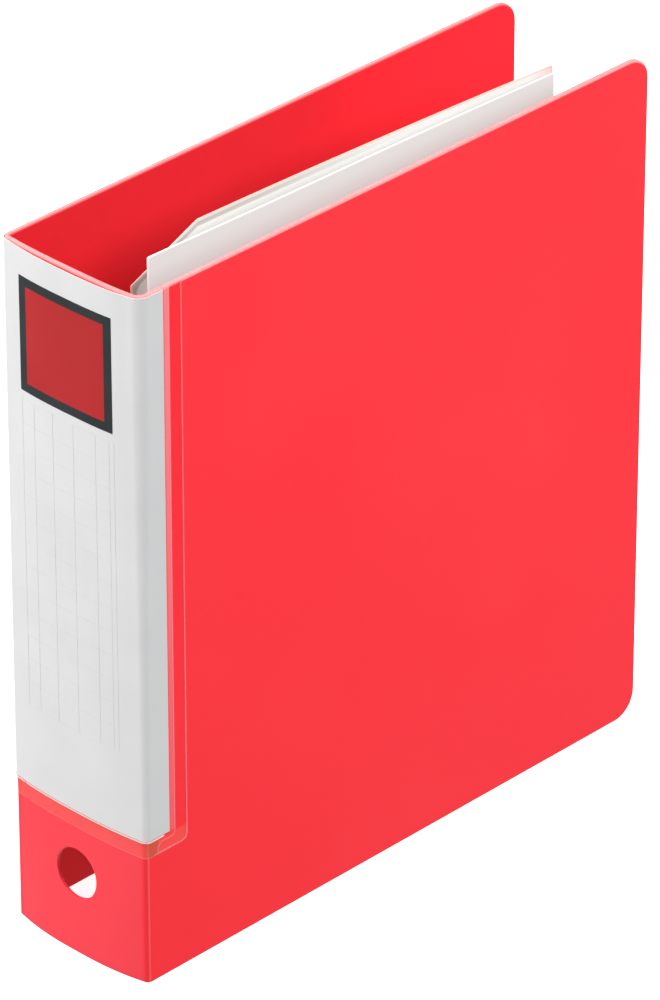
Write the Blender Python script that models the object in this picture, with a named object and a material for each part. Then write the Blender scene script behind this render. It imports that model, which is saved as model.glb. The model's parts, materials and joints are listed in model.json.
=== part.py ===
"""A lever arch file: a folded plastic cover with a spine pocket, a lever mechanism and two loose leaves.

Metres, +Z up. The file stands on its lower edges, spine towards -Y, front cover at +X, back cover
at -X. The origin is the centre of the foot of the bounding box.
"""

import math

import bmesh
import bpy
from mathutils import Matrix, Vector

# Driving dimensions: the cover.
FILE_HEIGHT = 0.307
FILE_DEPTH = 0.287
FILE_WIDTH = 0.076
COVER_SHEET = 0.0015
COVER_CORNER = 0.011
SPINE_CROWN = 0.002
FINGER_HOLE_RADIUS = 0.011
FINGER_HOLE_HEIGHT = 0.0365
GAP = 0.0003

# Driving dimensions: the spine pocket and its card, from the cover outwards.
CARD = 0.00035
FILM = 0.0003
CARD_FOOT = 0.066
CARD_HEAD_DROP = 0.0006
CARD_WING = 0.0125
POCKET_FOOT = 0.058
POCKET_HEAD_DROP = 0.0003
POCKET_WING = 0.022
POCKET_STEP = 0.0145

# Driving dimensions: the mechanism. Reach is measured from the spine's outer face, rise from the
# back cover's inner face.
RING_SPACING = 0.080
POST_REACH = 0.044
POST_RISE = 0.050
WIRE_RADIUS = 0.002
ARCH_REACH = 0.020
ARCH_AXIS_RISE = 0.007
ARCH_CROWN_RISE = 0.015
CARRIER_RADIUS = 0.0035
CARRIER_HALF_LENGTH = 0.044
PLATE_THICKNESS = 0.0012
PLATE_NEAR_REACH = 0.008
PLATE_FAR_REACH = 0.058
PLATE_HALF_LENGTH = 0.072
RIVET_REACHES = (0.028, 0.052)
RIVET_OFFSET = 0.062
RIVET_SHANK = 0.0019
RIVET_HEAD = 0.0045
PIN_RADIUS = 0.0015
EAR_OFFSET = 0.050
EAR_HALF_WIDTH = 0.0045
EAR_OVER_PIN = 0.004
TAB_REACH = 0.033
TAB_HALF_WIDTH = 0.0055
LEVER_REACH = 0.012
LEVER_AXIS_RISE = 0.009
LEVER_HALF_WIDTH = 0.0072
LEVER_WALL = 0.0012
LEVER_BOSS = 0.004
CHEEK_REACH = 0.0295
WEB_REACH = 0.037
GRIP_NEAR_REACH = 0.030
GRIP_FAR_REACH = 0.042
GRIP_HALF_WIDTH = 0.0085
ROLLER_REACH = 0.026
ROLLER_RISE = 0.012
ROLLER_RADIUS = 0.003
ROLLER_LENGTH = 0.010
ROLLER_PIN_RADIUS = 0.0011

# Driving dimensions: the leaves.
LEAF_HEIGHT = 0.297
LEAF_HOLE_RADIUS = 0.003
PAPER_REACH = 0.032
PAPER_END_REACH = 0.252
PAPER_THICKNESS = 0.0008
PAPER_LEAN = 0.0252
PAPER_X = 0.0095
LIFTER_REACH = 0.0315
LIFTER_END_REACH = 0.2565
LIFTER_THICKNESS = 0.0005
LIFTER_X = 0.0004
LIFTER_LEAN = 0.0095
LIFTER_LEAN_POWER = 1.6
LIFTER_CUT_LENGTH = 0.0355
LIFTER_CUT_DROP = 0.0156

# Worked out from the driving dimensions.
POCKET_STACK = GAP + CARD + GAP + FILM
BACK_FACE = -FILE_WIDTH / 2 + POCKET_STACK
FRONT_FACE = FILE_WIDTH / 2 - POCKET_STACK
SPINE_FACE = -FILE_DEPTH / 2 + SPINE_CROWN + POCKET_STACK
FORE_EDGE = FILE_DEPTH / 2
HALF_SHEET = COVER_SHEET / 2
HINGE_Y = SPINE_FACE + HALF_SHEET
BACK_HINGE = Vector((BACK_FACE + HALF_SHEET, HINGE_Y, 0))
FRONT_HINGE = Vector((FRONT_FACE - HALF_SHEET, HINGE_Y, 0))
HINGE_CLEARANCE = HALF_SHEET + GAP
CARD_OFFSET = HALF_SHEET + GAP + CARD / 2
FILM_OFFSET = HALF_SHEET + POCKET_STACK - FILM / 2
WELD_OFFSET = HALF_SHEET + GAP + FILM / 2
BACK_INNER = BACK_FACE + COVER_SHEET
MID_HEIGHT = FILE_HEIGHT / 2
PLATE_TOP = GAP + PLATE_THICKNESS
ALONG = {"X": Vector((1, 0, 0)), "Y": Vector((0, 1, 0)), "Z": Vector((0, 0, 1))}


def clear_scene():
    for old in list(bpy.data.objects):
        bpy.data.objects.remove(old)


def plain_material(name, color, roughness, metallic=0.0, alpha=1.0):
    material = bpy.data.materials.new(name)
    material.use_nodes = True
    shader = material.node_tree.nodes["Principled BSDF"]
    shader.inputs["Base Color"].default_value = (*color, 1.0)
    shader.inputs["Roughness"].default_value = roughness
    shader.inputs["Metallic"].default_value = metallic
    shader.inputs["Alpha"].default_value = alpha
    return material


def at(reach, rise, along=0.0):
    """A point of the mechanism: from the spine, off the back cover, and up from mid-height."""
    return Vector((BACK_INNER + rise, SPINE_FACE + reach, MID_HEIGHT + along))


def pivot(name, place, parent=None):
    """An empty on a joint's axis. What turns or slides with it is parented to it."""
    empty = bpy.data.objects.new(name, None)
    bpy.context.collection.objects.link(empty)
    empty["place"] = place
    empty.location = place
    if parent:
        empty.parent = parent
        empty.location = place - Vector(parent["place"])
    return empty


def finish(name, mesh_data, material, holder):
    """Turns a bmesh, in world coordinates, into an object whose origin is at its holder's pivot."""
    bmesh.ops.recalc_face_normals(mesh_data, faces=mesh_data.faces)
    mesh = bpy.data.meshes.new(name)
    mesh_data.to_mesh(mesh)
    mesh_data.free()
    mesh.transform(Matrix.Translation(-Vector(holder["place"])))
    mesh.shade_smooth()
    mesh.set_sharp_from_angle(angle=math.radians(35))
    obj = bpy.data.objects.new(name, mesh)
    obj.data.materials.append(material)
    obj.parent = holder
    bpy.context.collection.objects.link(obj)
    return obj


def boolean(target, operation, tool):
    tool.hide_render = True
    tool.display_type = "WIRE"
    modifier = target.modifiers.new(operation.title(), "BOOLEAN")
    modifier.operation = operation
    modifier.solver = "EXACT"
    modifier.object = tool


def add_prism(mesh_data, outline, sweep):
    """Adds a flat outline of world points, swept along a vector, to the mesh."""
    low = [mesh_data.verts.new(point) for point in outline]
    high = [mesh_data.verts.new(Vector(point) + sweep) for point in outline]
    mesh_data.faces.new(low)
    mesh_data.faces.new(list(reversed(high)))
    for i, corner in enumerate(low):
        after = (i + 1) % len(low)
        mesh_data.faces.new((corner, high[i], high[after], low[after]))


def prism(outline, sweep):
    mesh_data = bmesh.new()
    add_prism(mesh_data, outline, sweep)
    return mesh_data


def add_box(mesh_data, low, high):
    """Adds a box between two corners."""
    size = Vector(high) - Vector(low)
    corners = [(0, 0), (1, 0), (1, 1), (0, 1)]
    outline = [Vector(low) + Vector((size.x * a, size.y * b, 0)) for a, b in corners]
    add_prism(mesh_data, outline, Vector((0, 0, size.z)))


def add_cylinder(mesh_data, centre, axis, radius, length, segments=24):
    turn = Vector((0, 0, 1)).rotation_difference(ALONG[axis]).to_matrix().to_4x4()
    bmesh.ops.create_cone(
        mesh_data,
        cap_ends=True,
        segments=segments,
        radius1=radius,
        radius2=radius,
        depth=length,
        matrix=Matrix.Translation(centre) @ turn,
    )


def turned(base, axis, profile, segments=16):
    """A turned solid. The profile lists (distance along the axis, radius) from end to end."""
    mesh_data = bmesh.new()
    direction = ALONG[axis]
    side = direction.orthogonal().normalized()
    other = direction.cross(side)
    rings = []
    for distance, radius in profile:
        ring = []
        for k in range(segments):
            angle = 2 * math.pi * k / segments
            spoke = side * math.cos(angle) + other * math.sin(angle)
            ring.append(mesh_data.verts.new(base + direction * distance + spoke * radius))
        rings.append(ring)
    for ring, above in zip(rings, rings[1:]):
        for k in range(segments):
            after = (k + 1) % segments
            mesh_data.faces.new((ring[k], ring[after], above[after], above[k]))
    mesh_data.faces.new(rings[0])
    mesh_data.faces.new(rings[-1])
    return mesh_data


def tube(path, sides_of, radius, segments=10):
    """A round wire along a path. sides_of gives the two cross directions at a point's index."""
    mesh_data = bmesh.new()
    rings = []
    for i, point in enumerate(path):
        side, other = sides_of(i)
        ring = []
        for k in range(segments):
            angle = 2 * math.pi * k / segments
            offset = side * math.cos(angle) + other * math.sin(angle)
            ring.append(mesh_data.verts.new(point + offset * radius))
        rings.append(ring)
    for ring, above in zip(rings, rings[1:]):
        for k in range(segments):
            after = (k + 1) % segments
            mesh_data.faces.new((ring[k], ring[after], above[after], above[k]))
    mesh_data.faces.new(rings[0])
    mesh_data.faces.new(rings[-1])
    return mesh_data


def strip_outline(centre_line, thickness, end_segments=0):
    """The outline of a strip around a line of (x, y) points, with round ends if asked."""
    points = [Vector(point) for point in centre_line]
    normals = []
    for i, _ in enumerate(points):
        before = points[max(i - 1, 0)]
        after = points[min(i + 1, len(points) - 1)]
        run = (after - before).normalized()
        normals.append(Vector((-run.y, run.x)))
    half = thickness / 2
    left = [p + n * half for p, n in zip(points, normals)]
    right = [p - n * half for p, n in zip(points, normals)]

    def cap(centre, start):
        turns = [math.pi * k / end_segments for k in range(1, end_segments)]
        return [centre + Matrix.Rotation(-turn, 2) @ start for turn in turns]

    outline = list(left)
    if end_segments:
        outline += cap(points[-1], normals[-1] * half)
    outline += reversed(right)
    if end_segments:
        outline += cap(points[0], -normals[0] * half)
    return outline


def upright(outline, low, high):
    """A plan outline of (x, y) points stood up between two heights."""
    return prism([Vector((x, y, low)) for x, y in outline], Vector((0, 0, high - low)))


def spine_line(offset, overhang=0.0, segments=14):
    """The crowned spine in plan, moved outwards by an offset and past the hinges by an overhang."""
    half = FRONT_HINGE.x
    line = [(-half - overhang, HINGE_Y - offset)] if overhang else []
    for i in range(segments + 1):
        x = -half + 2 * half * i / segments
        line.append((x, HINGE_Y - SPINE_CROWN * (1 - (x / half) ** 2) - offset))
    if overhang:
        line.append((half + overhang, HINGE_Y - offset))
    return line


def rounded_panel(x_low, x_high, reach_low, radius):
    """A cover panel from near its hinge to the fore edge, with both fore corners rounded."""
    arc = [math.pi / 2 * k / 8 for k in range(9)]
    lower = [(FORE_EDGE - radius + radius * math.sin(a), radius - radius * math.cos(a)) for a in arc]
    upper = [(y, FILE_HEIGHT - z) for y, z in reversed(lower)]
    outline = [(reach_low, 0.0), *lower, *upper, (reach_low, FILE_HEIGHT)]
    sweep = Vector((x_high - x_low, 0, 0))
    return prism([Vector((x_low, y, z)) for y, z in outline], sweep)


# The cover: one folded sheet, split at its two living hinges.


def make_back_cover(holder, material):
    cover = finish(
        "back_cover",
        rounded_panel(BACK_FACE, BACK_INNER, HINGE_Y + HINGE_CLEARANCE, COVER_CORNER),
        material,
        holder,
    )
    drills = bmesh.new()
    for reach in RIVET_REACHES:
        for side in (-1, 1):
            add_cylinder(drills, at(reach, 0, side * RIVET_OFFSET), "X", RIVET_SHANK + GAP, 0.01, 16)
    boolean(cover, "DIFFERENCE", finish("back_cover_drills", drills, material, holder))


def make_spine(holder, material):
    outline = strip_outline(spine_line(0.0), COVER_SHEET, end_segments=8)
    spine = finish("spine", upright(outline, 0.0, FILE_HEIGHT), material, holder)
    punch = bmesh.new()
    centre = Vector((0, SPINE_FACE, FINGER_HOLE_HEIGHT))
    add_cylinder(punch, centre, "Y", FINGER_HOLE_RADIUS, 0.02, 40)
    boolean(spine, "DIFFERENCE", finish("finger_hole_punch", punch, material, holder))


def make_front_cover(holder, material):
    panel = rounded_panel(
        FRONT_FACE - COVER_SHEET, FRONT_FACE, HINGE_Y + HINGE_CLEARANCE, COVER_CORNER
    )
    finish("front_cover", panel, material, holder)


# The spine pocket and the card in it. Each wraps round onto both covers, so each is three pieces
# that meet at the living hinges.


def make_spine_layer(name, holder, material, offset, thickness, overhang, foot, head):
    outline = strip_outline(spine_line(offset, overhang), thickness)
    finish(name, upright(outline, foot, head), material, holder)


def make_pocket_wing(name, holder, material, side, foot, head):
    """The pocket film steps down behind the card's edge to its weld on the cover."""
    hinge_x = FRONT_HINGE.x if side > 0 else BACK_HINGE.x
    stations = [
        (HINGE_CLEARANCE, FILM_OFFSET),
        (POCKET_STEP - 0.0015, FILM_OFFSET),
        (POCKET_STEP, WELD_OFFSET),
        (POCKET_WING, WELD_OFFSET),
    ]
    line = [(hinge_x + side * offset, HINGE_Y + run) for run, offset in stations]
    finish(name, upright(strip_outline(line, FILM), foot, head), material, holder)


def make_card_wing(name, holder, material, side, foot, head):
    hinge_x = FRONT_HINGE.x if side > 0 else BACK_HINGE.x
    x = hinge_x + side * CARD_OFFSET
    line = [(x, HINGE_Y + HINGE_CLEARANCE), (x, SPINE_FACE + CARD_WING)]
    finish(name, upright(strip_outline(line, CARD), foot, head), material, holder)


# The lever mechanism, riveted to the back cover.


def make_base_plate(holder, material):
    radius = 0.006
    corners = [
        (PLATE_FAR_REACH - radius, PLATE_HALF_LENGTH - radius, 0),
        (PLATE_NEAR_REACH + radius, PLATE_HALF_LENGTH - radius, 1),
        (PLATE_NEAR_REACH + radius, radius - PLATE_HALF_LENGTH, 2),
        (PLATE_FAR_REACH - radius, radius - PLATE_HALF_LENGTH, 3),
    ]
    outline = []
    for reach, along, quarter in corners:
        for k in range(5):
            angle = math.pi / 2 * (quarter + k / 4)
            step = Vector((0, math.cos(angle), math.sin(angle))) * radius
            outline.append(at(reach, GAP, along) + step)
    plate = finish(
        "base_plate", prism(outline, Vector((PLATE_THICKNESS, 0, 0))), material, holder
    )
    ears = bmesh.new()
    ear_sets = [
        (ARCH_REACH, ARCH_AXIS_RISE, EAR_OFFSET),
        (LEVER_REACH, LEVER_AXIS_RISE, LEVER_HALF_WIDTH + GAP),
    ]
    for reach, rise, offset in ear_sets:
        for side in (-1, 1):
            ends = sorted((side * offset, side * (offset + PLATE_THICKNESS)))
            low = at(reach - EAR_HALF_WIDTH, PLATE_TOP - PLATE_THICKNESS / 2, ends[0])
            add_box(ears, low, at(reach + EAR_HALF_WIDTH, rise + EAR_OVER_PIN, ends[1]))
    boolean(plate, "UNION", finish("base_plate_ears", ears, material, holder))
    drills = bmesh.new()
    for reach in RIVET_REACHES:
        for side in (-1, 1):
            add_cylinder(drills, at(reach, 0, side * RIVET_OFFSET), "X", RIVET_SHANK + GAP, 0.01, 16)
    for reach, rise, offset in ear_sets:
        for side in (-1, 1):
            centre = at(reach, rise, side * (offset + PLATE_THICKNESS / 2))
            add_cylinder(drills, centre, "Z", PIN_RADIUS + GAP, 0.004, 16)
    boolean(plate, "DIFFERENCE", finish("base_plate_drills", drills, material, holder))


def make_rivet(name, holder, material, reach, along):
    """A tubular rivet: domed head outside the cover, shank, and a clinched head on the plate."""
    outer = -COVER_SHEET - GAP
    inner = PLATE_TOP + GAP
    profile = [
        (outer - 0.0009, RIVET_HEAD * 0.44),
        (outer - 0.0007, RIVET_HEAD * 0.80),
        (outer - 0.0003, RIVET_HEAD * 0.98),
        (outer, RIVET_HEAD),
        (outer, RIVET_SHANK),
        (inner, RIVET_SHANK),
        (inner, 0.0032),
        (inner + 0.0006, 0.0031),
        (inner + 0.0010, 0.0020),
    ]
    finish(name, turned(at(reach, 0, along), "X", profile), material, holder)


def make_post(name, holder, material, along):
    foot = PLATE_TOP + GAP
    profile = [
        (foot, 0.0035),
        (foot + 0.0014, 0.0035),
        (foot + 0.0018, WIRE_RADIUS),
        (POST_RISE - 0.0020, WIRE_RADIUS),
        (POST_RISE - 0.0006, WIRE_RADIUS * 0.65),
        (POST_RISE, WIRE_RADIUS * 0.3),
    ]
    finish(name, turned(at(POST_REACH, 0, along), "X", profile, 14), material, holder)


def make_arch(name, holder, material, along, arc_segments=16):
    """The swinging half of a ring: a straight leg and a half ellipse down to the post's tip."""
    half_span = (POST_REACH - ARCH_REACH) / 2
    stations = [(ARCH_REACH, ARCH_AXIS_RISE + CARRIER_RADIUS + GAP)]
    for k in range(arc_segments + 1):
        angle = math.pi * (1 - k / arc_segments)
        reach = ARCH_REACH + half_span * (1 + math.cos(angle))
        stations.append((reach, POST_RISE + ARCH_CROWN_RISE * math.sin(angle)))
    stations[-1] = (POST_REACH, POST_RISE + GAP)
    path = [at(reach, rise, along) for reach, rise in stations]

    def sides_of(i):
        run = path[min(i + 1, len(path) - 1)] - path[max(i - 1, 0)]
        return run.cross(ALONG["Z"]).normalized(), ALONG["Z"]

    finish(name, tube(path, sides_of, WIRE_RADIUS), material, holder)


def make_arch_carrier(holder, material):
    """The bar that both arches stand on, with the tab that the lever's roller holds down."""
    bar = bmesh.new()
    centre = at(ARCH_REACH, ARCH_AXIS_RISE)
    add_cylinder(bar, centre, "Z", CARRIER_RADIUS, 2 * CARRIER_HALF_LENGTH, 20)
    carrier = finish("arch_carrier", bar, material, holder)
    tab = bmesh.new()
    tab_top = ROLLER_RISE - ROLLER_RADIUS - GAP
    add_box(
        tab,
        at(ARCH_REACH, tab_top - LEVER_WALL, -TAB_HALF_WIDTH),
        at(TAB_REACH, tab_top, TAB_HALF_WIDTH),
    )
    boolean(carrier, "UNION", finish("arch_carrier_tab", tab, material, holder))
    drills = bmesh.new()
    for side in (-1, 1):
        end = centre + Vector((0, 0, side * CARRIER_HALF_LENGTH))
        add_cylinder(drills, end, "Z", PIN_RADIUS + GAP, 0.016, 16)
    boolean(carrier, "DIFFERENCE", finish("arch_carrier_drills", drills, material, holder))


def make_carrier_pin(name, holder, material, side):
    head = EAR_OFFSET + PLATE_THICKNESS + GAP
    profile = [
        (side * 0.038, PIN_RADIUS),
        (side * head, PIN_RADIUS),
        (side * head, 0.0026),
        (side * (head + 0.0010), 0.0024),
    ]
    finish(
        name, turned(at(ARCH_REACH, ARCH_AXIS_RISE), "Z", profile, 14), material, holder
    )


def make_arch_spring(holder, material, turns=4, steps=12):
    """A torsion spring on the upper carrier pin, its tail on the base plate."""
    coil_radius = 0.0027
    pitch = 0.00105
    centre = at(ARCH_REACH, ARCH_AXIS_RISE, CARRIER_HALF_LENGTH + 0.0009)
    path = []
    spokes = []
    for k in range(turns * steps + 1):
        angle = 2 * math.pi * k / steps
        spoke = Vector((-math.sin(angle), math.cos(angle), 0))
        path.append(centre + spoke * coil_radius + Vector((0, 0, pitch * k / steps)))
        spokes.append(spoke)
    tail = Vector((PLATE_TOP + 2 * GAP - ARCH_AXIS_RISE + 0.0005, 0, 0))
    path.append(path[-1] + tail)
    spokes.append(spokes[-1])

    def sides_of(i):
        run = path[min(i + 1, len(path) - 1)] - path[max(i - 1, 0)]
        return spokes[i], run.cross(spokes[i]).normalized()

    finish("arch_spring", tube(path, sides_of, 0.00045, 6), material, holder)


def make_lever(holder, material):
    """A pressed channel: two cheeks and a top web that runs on into the grip."""
    pivot_point = (LEVER_REACH, LEVER_AXIS_RISE)
    cheek_foot = ARCH_AXIS_RISE + CARRIER_RADIUS + 0.0004
    web_top = ROLLER_RISE + ROLLER_RADIUS + 0.0005
    profile = []
    for degrees in range(150, 331, 30):
        angle = math.radians(degrees)
        reach = pivot_point[0] + LEVER_BOSS * math.cos(angle)
        profile.append((reach, pivot_point[1] + LEVER_BOSS * math.sin(angle)))
    profile += [
        (LEVER_REACH + LEVER_BOSS, cheek_foot),
        (CHEEK_REACH, cheek_foot),
        (CHEEK_REACH, web_top),
        (WEB_REACH, web_top),
        (WEB_REACH, web_top + LEVER_WALL),
        (LEVER_REACH + 0.002, web_top + LEVER_WALL),
    ]
    outline = [at(reach, rise, -LEVER_HALF_WIDTH) for reach, rise in profile]
    blank = prism(outline, Vector((0, 0, 2 * LEVER_HALF_WIDTH)))
    lever = finish("lever", blank, material, holder)
    inner = LEVER_HALF_WIDTH - LEVER_WALL
    hollow = bmesh.new()
    add_box(hollow, at(0.0, 0.0, -inner), at(0.045, web_top, inner))
    boolean(lever, "DIFFERENCE", finish("lever_hollow", hollow, material, holder))
    drills = bmesh.new()
    add_cylinder(drills, at(*pivot_point), "Z", PIN_RADIUS + GAP, 0.02, 16)
    add_cylinder(drills, at(ROLLER_REACH, ROLLER_RISE), "Z", ROLLER_PIN_RADIUS + GAP, 0.02, 14)
    boolean(lever, "DIFFERENCE", finish("lever_drills", drills, material, holder))
    return web_top


def make_lever_grip(holder, material, web_top):
    grip_low = web_top - 0.0022
    grip_high = web_top + LEVER_WALL + 0.0015
    profile = [
        (GRIP_NEAR_REACH, grip_low),
        (GRIP_FAR_REACH - 0.0025, grip_low),
        (GRIP_FAR_REACH - 0.0005, grip_low + 0.0012),
        (GRIP_FAR_REACH, grip_high - 0.0010),
        (GRIP_FAR_REACH - 0.0010, grip_high),
        (GRIP_NEAR_REACH + 0.0012, grip_high),
        (GRIP_NEAR_REACH, grip_high - 0.0010),
    ]
    outline = [at(reach, rise, -GRIP_HALF_WIDTH) for reach, rise in profile]
    sweep = Vector((0, 0, 2 * GRIP_HALF_WIDTH))
    grip = finish("lever_grip", prism(outline, sweep), material, holder)
    socket = bmesh.new()
    slot_half = LEVER_HALF_WIDTH + GAP
    add_box(
        socket,
        at(0.020, web_top - GAP, -slot_half),
        at(WEB_REACH + GAP, web_top + LEVER_WALL + GAP, slot_half),
    )
    boolean(grip, "DIFFERENCE", finish("lever_grip_socket", socket, material, holder))


def make_cross_pin(name, holder, material, centre, radius, half_length):
    """A plain pin across the lever, its two ends spread into small heads."""
    head = radius + 0.0008
    profile = [
        (-half_length - 0.0009, head * 0.9),
        (-half_length, head),
        (-half_length, radius),
        (half_length, radius),
        (half_length, head),
        (half_length + 0.0009, head * 0.9),
    ]
    finish(name, turned(centre, "Z", profile, 14), material, holder)


def make_roller(holder, material):
    mesh_data = bmesh.new()
    centre = at(ROLLER_REACH, ROLLER_RISE)
    add_cylinder(mesh_data, centre, "Z", ROLLER_RADIUS, ROLLER_LENGTH, 20)
    roller = finish("roller", mesh_data, material, holder)
    bore = bmesh.new()
    add_cylinder(bore, centre, "Z", ROLLER_PIN_RADIUS + GAP, 0.02, 14)
    boolean(roller, "DIFFERENCE", finish("roller_bore", bore, material, holder))


# The leaves, hung on the two rings.


def make_leaf(name, holder, material, stations, thickness):
    """A leaf through (reach, x, foot, head) stations, with a ring hole at each post."""
    mesh_data = bmesh.new()
    columns = []
    for reach, x, foot, head in stations:
        column = []
        for shift in (-thickness / 2, thickness / 2):
            for z in (foot, head):
                column.append(mesh_data.verts.new((x + shift, SPINE_FACE + reach, z)))
        columns.append(column)
    for a, b in zip(columns, columns[1:]):
        mesh_data.faces.new((a[0], b[0], b[1], a[1]))
        mesh_data.faces.new((a[2], a[3], b[3], b[2]))
        mesh_data.faces.new((a[0], a[2], b[2], b[0]))
        mesh_data.faces.new((a[1], b[1], b[3], a[3]))
    for column in (columns[0], columns[-1]):
        mesh_data.faces.new((column[0], column[1], column[3], column[2]))
    leaf = finish(name, mesh_data, material, holder)
    punch = bmesh.new()
    for side in (-1, 1):
        centre = at(POST_REACH, 0, side * RING_SPACING / 2)
        centre.x = stations[0][1]
        add_cylinder(punch, centre, "X", LEAF_HOLE_RADIUS, 0.01, 20)
    boolean(leaf, "DIFFERENCE", finish(f"{name}_punch", punch, material, holder))


def paper_stations():
    foot = MID_HEIGHT - LEAF_HEIGHT / 2
    return [
        (reach, PAPER_X + PAPER_LEAN * (reach - POST_REACH), foot, foot + LEAF_HEIGHT)
        for reach in (PAPER_REACH, PAPER_END_REACH)
    ]


def lifter_stations(segments=12):
    foot = MID_HEIGHT - LEAF_HEIGHT / 2
    width = LIFTER_END_REACH - LIFTER_REACH
    cut_share = LIFTER_CUT_LENGTH / width
    shares = [0.0, cut_share]
    shares += [cut_share + (1 - cut_share) * k / segments for k in range(1, segments + 1)]
    stations = []
    for share in shares:
        drop = LIFTER_CUT_DROP * max(0.0, 1 - share / cut_share)
        head = foot + LEAF_HEIGHT - drop
        x = LIFTER_X + LIFTER_LEAN * share**LIFTER_LEAN_POWER
        stations.append((LIFTER_REACH + width * share, x, foot, head))
    return stations


def main():
    clear_scene()
    red = plain_material("cover_plastic", (0.86, 0.05, 0.07), 0.42)
    clear_film = plain_material("pocket_film", (0.95, 0.93, 0.93), 0.2, alpha=0.3)
    card = plain_material("card_stock", (0.82, 0.82, 0.82), 0.7)
    steel = plain_material("plated_steel", (0.72, 0.72, 0.74), 0.28, metallic=1.0)
    black = plain_material("grip_plastic", (0.03, 0.03, 0.035), 0.45)
    nylon = plain_material("roller_nylon", (0.85, 0.84, 0.8), 0.5)
    paper = plain_material("leaf_paper", (0.83, 0.82, 0.8), 0.8)
    leaf_film = plain_material("leaf_film", (0.85, 0.86, 0.86), 0.35, alpha=0.7)

    back = pivot("back_cover_pivot", Vector((0, 0, 0)))
    spine = pivot("spine_pivot", BACK_HINGE, back)
    front = pivot("front_cover_pivot", FRONT_HINGE, spine)
    card_slide = pivot("label_card_pivot", Vector((0, HINGE_Y, CARD_FOOT)), spine)
    card_front = pivot("label_front_wing_pivot", FRONT_HINGE, card_slide)
    card_back = pivot("label_back_wing_pivot", BACK_HINGE, card_slide)
    arches = pivot("arches_pivot", at(ARCH_REACH, ARCH_AXIS_RISE), back)
    lever = pivot("lever_pivot", at(LEVER_REACH, LEVER_AXIS_RISE), back)
    roller = pivot("roller_pivot", at(ROLLER_REACH, ROLLER_RISE), lever)
    paper_slide = pivot("paper_leaf_pivot", at(POST_REACH, 0), back)
    lifter_slide = pivot("lifter_leaf_pivot", at(POST_REACH, 0), back)

    make_back_cover(back, red)
    make_spine(spine, red)
    make_front_cover(front, red)

    pocket_head = FILE_HEIGHT - POCKET_HEAD_DROP
    card_head = FILE_HEIGHT - CARD_HEAD_DROP
    make_spine_layer(
        "pocket_spine", spine, clear_film, FILM_OFFSET, FILM, 0.0006, POCKET_FOOT, pocket_head
    )
    make_spine_layer(
        "card_spine", card_slide, card, CARD_OFFSET, CARD, 0.0002, CARD_FOOT, card_head
    )
    make_pocket_wing("pocket_front_wing", front, clear_film, 1, POCKET_FOOT, pocket_head)
    make_pocket_wing("pocket_back_wing", back, clear_film, -1, POCKET_FOOT, pocket_head)
    make_card_wing("card_front_wing", card_front, card, 1, CARD_FOOT, card_head)
    make_card_wing("card_back_wing", card_back, card, -1, CARD_FOOT, card_head)

    make_base_plate(back, steel)
    make_arch_carrier(arches, steel)
    ends = (("lower", -1), ("upper", 1))
    for word, side in ends:
        along = side * RING_SPACING / 2
        make_post(f"post_{word}", back, steel, along)
        make_arch(f"arch_{word}", arches, steel, along)
        make_carrier_pin(f"carrier_pin_{word}", back, steel, side)
        for place, reach in zip(("spine_side", "fore_side"), RIVET_REACHES):
            name = f"rivet_{word}_{place}"
            make_rivet(name, back, steel, reach, side * RIVET_OFFSET)
    make_arch_spring(back, steel)
    web_top = make_lever(lever, steel)
    make_lever_grip(lever, black, web_top)
    lever_axis = at(LEVER_REACH, LEVER_AXIS_RISE)
    roller_axis = at(ROLLER_REACH, ROLLER_RISE)
    pin_half = LEVER_HALF_WIDTH + 2 * GAP + PLATE_THICKNESS
    make_cross_pin("lever_pin", back, steel, lever_axis, PIN_RADIUS, pin_half)
    make_cross_pin(
        "roller_pin", lever, steel, roller_axis, ROLLER_PIN_RADIUS, LEVER_HALF_WIDTH + GAP
    )
    make_roller(roller, nylon)

    make_leaf("paper_leaf", paper_slide, paper, paper_stations(), PAPER_THICKNESS)
    make_leaf("lifter_leaf", lifter_slide, leaf_film, lifter_stations(), LIFTER_THICKNESS)


main()
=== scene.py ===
"""The looks of the lever arch file: its folded cover, pocket, card, leaves and mechanism.

Everything is in metres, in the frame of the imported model: spine towards -Y, front cover at +X,
back cover at -X, +Z up.
"""

import json
import math

import bmesh
import bpy
from mathutils import Matrix, Vector


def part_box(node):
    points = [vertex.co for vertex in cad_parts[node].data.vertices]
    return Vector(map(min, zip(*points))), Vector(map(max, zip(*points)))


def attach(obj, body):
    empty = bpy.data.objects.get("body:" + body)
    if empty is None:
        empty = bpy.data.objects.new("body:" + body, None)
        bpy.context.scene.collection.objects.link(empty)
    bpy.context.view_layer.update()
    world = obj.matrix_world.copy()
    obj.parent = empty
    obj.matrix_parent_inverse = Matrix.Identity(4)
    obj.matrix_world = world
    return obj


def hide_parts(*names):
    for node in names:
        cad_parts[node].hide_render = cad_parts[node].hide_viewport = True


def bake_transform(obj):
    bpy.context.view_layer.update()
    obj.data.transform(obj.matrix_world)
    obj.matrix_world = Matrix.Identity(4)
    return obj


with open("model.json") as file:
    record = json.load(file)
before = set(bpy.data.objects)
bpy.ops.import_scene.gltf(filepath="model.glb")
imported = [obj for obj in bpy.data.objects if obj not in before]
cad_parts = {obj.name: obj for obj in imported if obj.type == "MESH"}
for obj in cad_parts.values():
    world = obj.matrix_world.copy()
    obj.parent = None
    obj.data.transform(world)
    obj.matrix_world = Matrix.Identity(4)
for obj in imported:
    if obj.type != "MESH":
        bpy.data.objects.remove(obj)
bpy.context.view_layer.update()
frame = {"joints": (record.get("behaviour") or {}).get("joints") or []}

# The cover's own sizes, read from the frame.
BACK_LOW, BACK_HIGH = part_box("back_cover")
BACK_INNER = BACK_HIGH.x
HEIGHT = BACK_HIGH.z
MID_HEIGHT = HEIGHT / 2
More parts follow.
